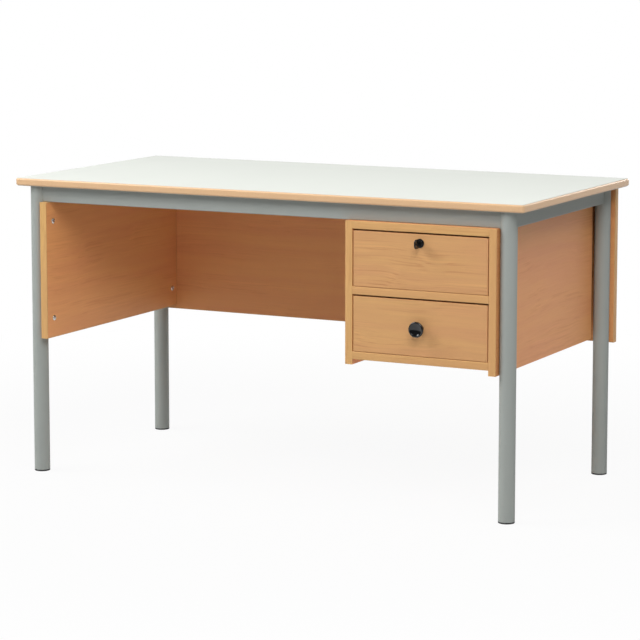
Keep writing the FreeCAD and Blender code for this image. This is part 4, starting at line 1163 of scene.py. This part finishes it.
class DESK_OT_worktop(bpy.types.Operator):
    """Core with its round edge, laminate above and balancer below"""

    bl_idname = "desk.worktop"
    bl_label = "Worktop"
    bl_options = {"REGISTER", "UNDO"}

    def execute(self, context):
        form = shapes()
        tone = finishes()
        low, high = span("worktop_laminate")
        core_low, core_high = span("worktop_core")
        core_low[:2], core_high[:2] = low[:2], high[:2]
        section = soft_edge(form.edge_bulge, core_high[2] - core_low[2])
        core = slab(core_low, core_high, form.top_corner, section)
        lacquer = stock("mdf_edge", lacquered_mdf, tone.core)
        piece("worktop_body", [core], lacquer, "frame", ["worktop_core"])
        thick = high[2] - low[2]
        arris = form.laminate_arris
        sheet = slab(low, high, form.top_corner, [(0, 0), (0, thick - arris), (-arris, thick)])
        surface = stock("top_laminate", laminate, tone.top)
        piece("worktop_sheet", [sheet], surface, "frame", ["worktop_laminate"])
        paint(stock("balancer", laminate, tone.balancer), "worktop_balancer")
        paint(zinc(), "worktop_screws")
        return {"FINISHED"}


class DESK_OT_panels(bpy.types.Operator):
    """Side panel and modesty panel with their edging"""

    bl_idname = "desk.panels"
    bl_label = "Panels"
    bl_options = {"REGISTER", "UNDO"}

    def execute(self, context):
        form = shapes()
        for node, thick, grain in (("side_panel", 0, "y"), ("modesty_panel", 1, "x")):
            paint(beech_panel(grain), node)
            level, standing = band(f"{node}_edging", thick, form.edging, form.arris)
            piece(f"{node}_bands", level, beech_edging(grain), "frame", [f"{node}_edging"])
            piece(f"{node}_upright_bands", standing, beech_edging("z"), "frame")
        return {"FINISHED"}


class DESK_OT_pedestal(bpy.types.Operator):
    """Boards, front strips, runners and dowels of the hung box"""

    bl_idname = "desk.pedestal"
    bl_label = "Pedestal"
    bl_options = {"REGISTER", "UNDO"}

    def execute(self, context):
        paint(beech_panel("y"), "pedestal_left_side", "pedestal_right_side")
        paint(beech_panel("x"), "pedestal_top", "pedestal_mid_rail", "pedestal_floor")
        paint(fibre_sheet(), "pedestal_back")
        paint(dowel_wood(), "pedestal_dowels")
        hardwood = stock("runner_wood", beech, finishes().runner, "y", (1.0, 2.0, 3.0), 1.2)
        paint(hardwood, *[f"{drawer}_{hand}_runner" for drawer in DRAWERS for hand in ("left", "right")])
        stiles = self.strips(2, "left_side", "right_side")
        rails = self.strips(0, "top", "mid_rail", "floor")
        piece("pedestal_stiles", stiles, beech_edging("z"), "frame", ["pedestal_edging"])
        piece("pedestal_rail_strips", rails, beech_edging("x"), "frame")
        return {"FINISHED"}

    def strips(self, run, *boards):
        """Edging on the front edges of boards, from the front of the CAD edging back to each board."""
        front = span("pedestal_edging")[0][1]
        made = []
        for board in boards:
            low, high = span(f"pedestal_{board}")
            low[1], high[1] = front, low[1]
            made.append(strip(low, high, run, shapes().arris))
        return made


class DESK_OT_drawers(bpy.types.Operator):
    """Fronts, edging and boxes of both drawers"""

    bl_idname = "desk.drawers"
    bl_label = "Drawers"
    bl_options = {"REGISTER", "UNDO"}

    def execute(self, context):
        form = shapes()
        tone = finishes()
        sides = stock("birch_ply_sides", plywood, tone.box, "x", form.ply)
        backs = stock("birch_ply_backs", plywood, tone.box, "y", form.ply)
        for number, drawer in enumerate(DRAWERS):
            body = f"{drawer}_drawer"
            seed = (0.7 + number, 2.3, 5.1)
            paint(stock(f"beech_front_{drawer}", beech, tone.front, "x", seed), f"{body}_front")
            level, standing = band(f"{body}_edging", 1, form.edging, form.arris)
            piece(f"{body}_bands", level, self.edging("x"), body, [f"{body}_edging"])
            piece(f"{body}_upright_bands", standing, self.edging("z"), body)
            paint(sides, f"{body}_left_side", f"{body}_right_side")
            paint(backs, f"{body}_back")
            paint(fibre_sheet(), f"{body}_base")
            paint(dowel_wood(), f"{body}_dowels")
        return {"FINISHED"}

    def edging(self, axis):
        """Edging in the tone of the drawer fronts, its grain along an axis."""
        return stock(f"beech_front_edging_{axis}", beech, finishes().front, axis, (3.3, 1.2, 0.4), 0.7)


class DESK_OT_lock(bpy.types.Operator):
    """Housing, barrel, cam and nut of the lock"""

    bl_idname = "desk.lock"
    bl_label = "Lock"
    bl_options = {"REGISTER", "UNDO"}

    def execute(self, context):
        lacquer = stock("lock_black", gloss_black, finishes().black, 0.16)
        piece("lock_body", [lock_housing_shell()], lacquer, "upper_drawer", ["lock_housing"])
        piece("lock_core", [barrel_shell()], lacquer, "lock", ["lock_barrel"])
        paint(zinc(), "lock_nut", "lock_cam")
        return {"FINISHED"}


class DESK_OT_key(bpy.types.Operator):
    """Blade and bow of the key"""

    bl_idname = "desk.key"
    bl_label = "Key"
    bl_options = {"REGISTER", "UNDO"}

    def execute(self, context):
        steel = stock("lock_steel", zinc_plate, finishes().zinc)
        piece("key_bow_moulding", [key_bow_shell()], black(), "key", ["key_bow"])
        piece("key_blade_cut", [key_blade_shell()], steel, "key", ["key_blade"])
        return {"FINISHED"}


class DESK_OT_knob(bpy.types.Operator):
    """Dished knob of the lower drawer"""

    bl_idname = "desk.knob"
    bl_label = "Knob"
    bl_options = {"REGISTER", "UNDO"}

    def execute(self, context):
        piece("knob_moulding", [knob_shell()], black(), "lower_drawer", ["knob"])
        return {"FINISHED"}


class DESK_OT_screws(bpy.types.Operator):
    """Cross-head screws of the panels, the pedestal, the runners, the knob and the cam"""

    bl_idname = "desk.screws"
    bl_label = "Screws"
    bl_options = {"REGISTER", "UNDO"}

    def execute(self, context):
        form = shapes()
        hanger = (form.screw_head, form.screw_shank)
        runner = (form.runner_screw_head, form.runner_screw_shank)
        self.round_heads("side_panel_screws", 0, 1)
        self.round_heads("modesty_panel_screws", 1, 0)
        self.sunk_heads("pedestal_screws", hanger, self.hanger_places())
        self.sunk_heads("runner_screws", runner, self.runner_places())
        front_back = span("lower_drawer_front")[1][1]
        cam_back = span("lock_cam")[1][1]
        self.round_head("knob_screw", "lower_drawer", front_back, form.runner_screw_shank)
        self.round_head("cam_screw", "lock", cam_back, form.cam_screw_shank)
        return {"FINISHED"}

    def round_heads(self, node, drive_axis, row_axis):
        """Screws at the four corners of a node's box, driven into the legs along one axis."""
        form = shapes()
        low, high = span(node)
        half = form.panel_screw_head / 2
        drive = -np.eye(3)[drive_axis]
        made = []
        for row in (low[row_axis] + half, high[row_axis] - half):
            for z in (low[2] + half, high[2] - half):
                at = np.empty(3)
                at[drive_axis] = high[drive_axis] - form.panel_screw_rise
                at[row_axis] = row
                at[2] = z
                length = at[drive_axis] - low[drive_axis]
                sizes = (form.panel_screw_head, form.panel_screw_rise, form.screw_shank, length)
                made.append(pan_screw(*sizes, np.cross(Z, drive), Z, drive, at))
        piece(f"{node}_set", made, zinc(), "frame", [node])

    def round_head(self, node, body, seat, shank):
        """One screw driven to the front, its head behind the seat."""
        low, high = span(node)
        at = middle_of(node)
        at[1] = seat
        made = pan_screw(high[0] - low[0], high[1] - seat, shank, seat - low[1], X, Z, -Y, at)
        piece(f"{node}_cut", [made], zinc(), body, [node])

    def sunk_heads(self, node, kind, places):
        """Countersunk screws, each with its place, the way it is driven and its length."""
        head, shank = kind
        made = []
        for at, drive, length in places:
            up = Y if abs(drive[2]) else Z
            made.append(sunk_screw(head, shank, length, np.cross(up, drive), up, drive, at))
        piece(f"{node}_set", made, zinc(), "frame", [node])

    def hanger_places(self):
        """Two into the front right leg, two up into the front rail and two up into the cross rail."""
        form = shapes()
        low, high = span("pedestal_screws")
        half = form.screw_head / 2
        left = span("pedestal_left_side")[0]
        side_low, side_high = span("pedestal_right_side")
        under = span("pedestal_top")[0][2]
        length = high[0] - side_low[0]
        front = low[1] + half
        rear = high[1] - half
        inset = form.hanger_inset
        heights = low[2] + half, side_high[2] - form.screw_inset
        places = [(np.array([side_low[0], front, z]), X, length) for z in heights]
        places += [(np.array([x, front, under]), Z, length) for x in (left[0] + inset, side_high[0] - inset)]
        places += [(np.array([low[0] + half, y, under]), Z, length) for y in (-rear, rear)]
        return places

    def runner_places(self):
        """Three along each runner, driven outwards into the pedestal's sides."""
        low, high = span("runner_screws")
        half = shapes().runner_screw_head / 2
        ends = low[1] + half, high[1] - half
        places = []
        for drawer in DRAWERS:
            for hand, drive in (("left", -X), ("right", X)):
                runner = f"{drawer}_{hand}_runner"
                runner_low, runner_high = span(runner)
                face = runner_high[0] if hand == "left" else runner_low[0]
                length = face - low[0] if hand == "left" else high[0] - face
                z = middle_of(runner)[2]
                for y in (ends[0], sum(ends) / 2, ends[1]):
                    places.append((np.array([face, y, z]), drive, length))
        return places


class DESK_PT_sidebar(bpy.types.Panel):
    """Sizes, colours and steps of the desk"""

    bl_label = "Pedestal desk"
    bl_space_type = "VIEW_3D"
    bl_region_type = "UI"
    bl_category = "Desk"

    def draw(self, context):
        for group in (shapes(), finishes(), studio()):
            box = self.layout.box()
            for name in group.__annotations__:
                box.prop(group, name)
        for step in STEPS:
            self.layout.operator(step.bl_idname)


GROUPS = {"desk_shapes": DeskShapes, "desk_finishes": DeskFinishes, "desk_studio": DeskStudio}
STEPS = (
    DESK_OT_studio,
    DESK_OT_tubes,
    DESK_OT_worktop,
    DESK_OT_panels,
    DESK_OT_pedestal,
    DESK_OT_drawers,
    DESK_OT_lock,
    DESK_OT_key,
    DESK_OT_knob,
    DESK_OT_screws,
)


def register():
    """Adds the settings, the steps and the sidebar to Blender."""
    for name, group in GROUPS.items():
        bpy.utils.register_class(group)
        setattr(bpy.types.Scene, name, PointerProperty(type=group))
    for item in (*STEPS, DESK_PT_sidebar):
        bpy.utils.register_class(item)


def unregister():
    """Takes them away again, the last first."""
    for item in (DESK_PT_sidebar, *reversed(STEPS)):
        bpy.utils.unregister_class(item)
    for name, group in reversed(GROUPS.items()):
        delattr(bpy.types.Scene, name)
        bpy.utils.unregister_class(group)


def main():
    register()
    for step in STEPS:
        getattr(bpy.ops.desk, step.bl_idname.split(".")[1])()


if __name__ == "__main__":
    main()
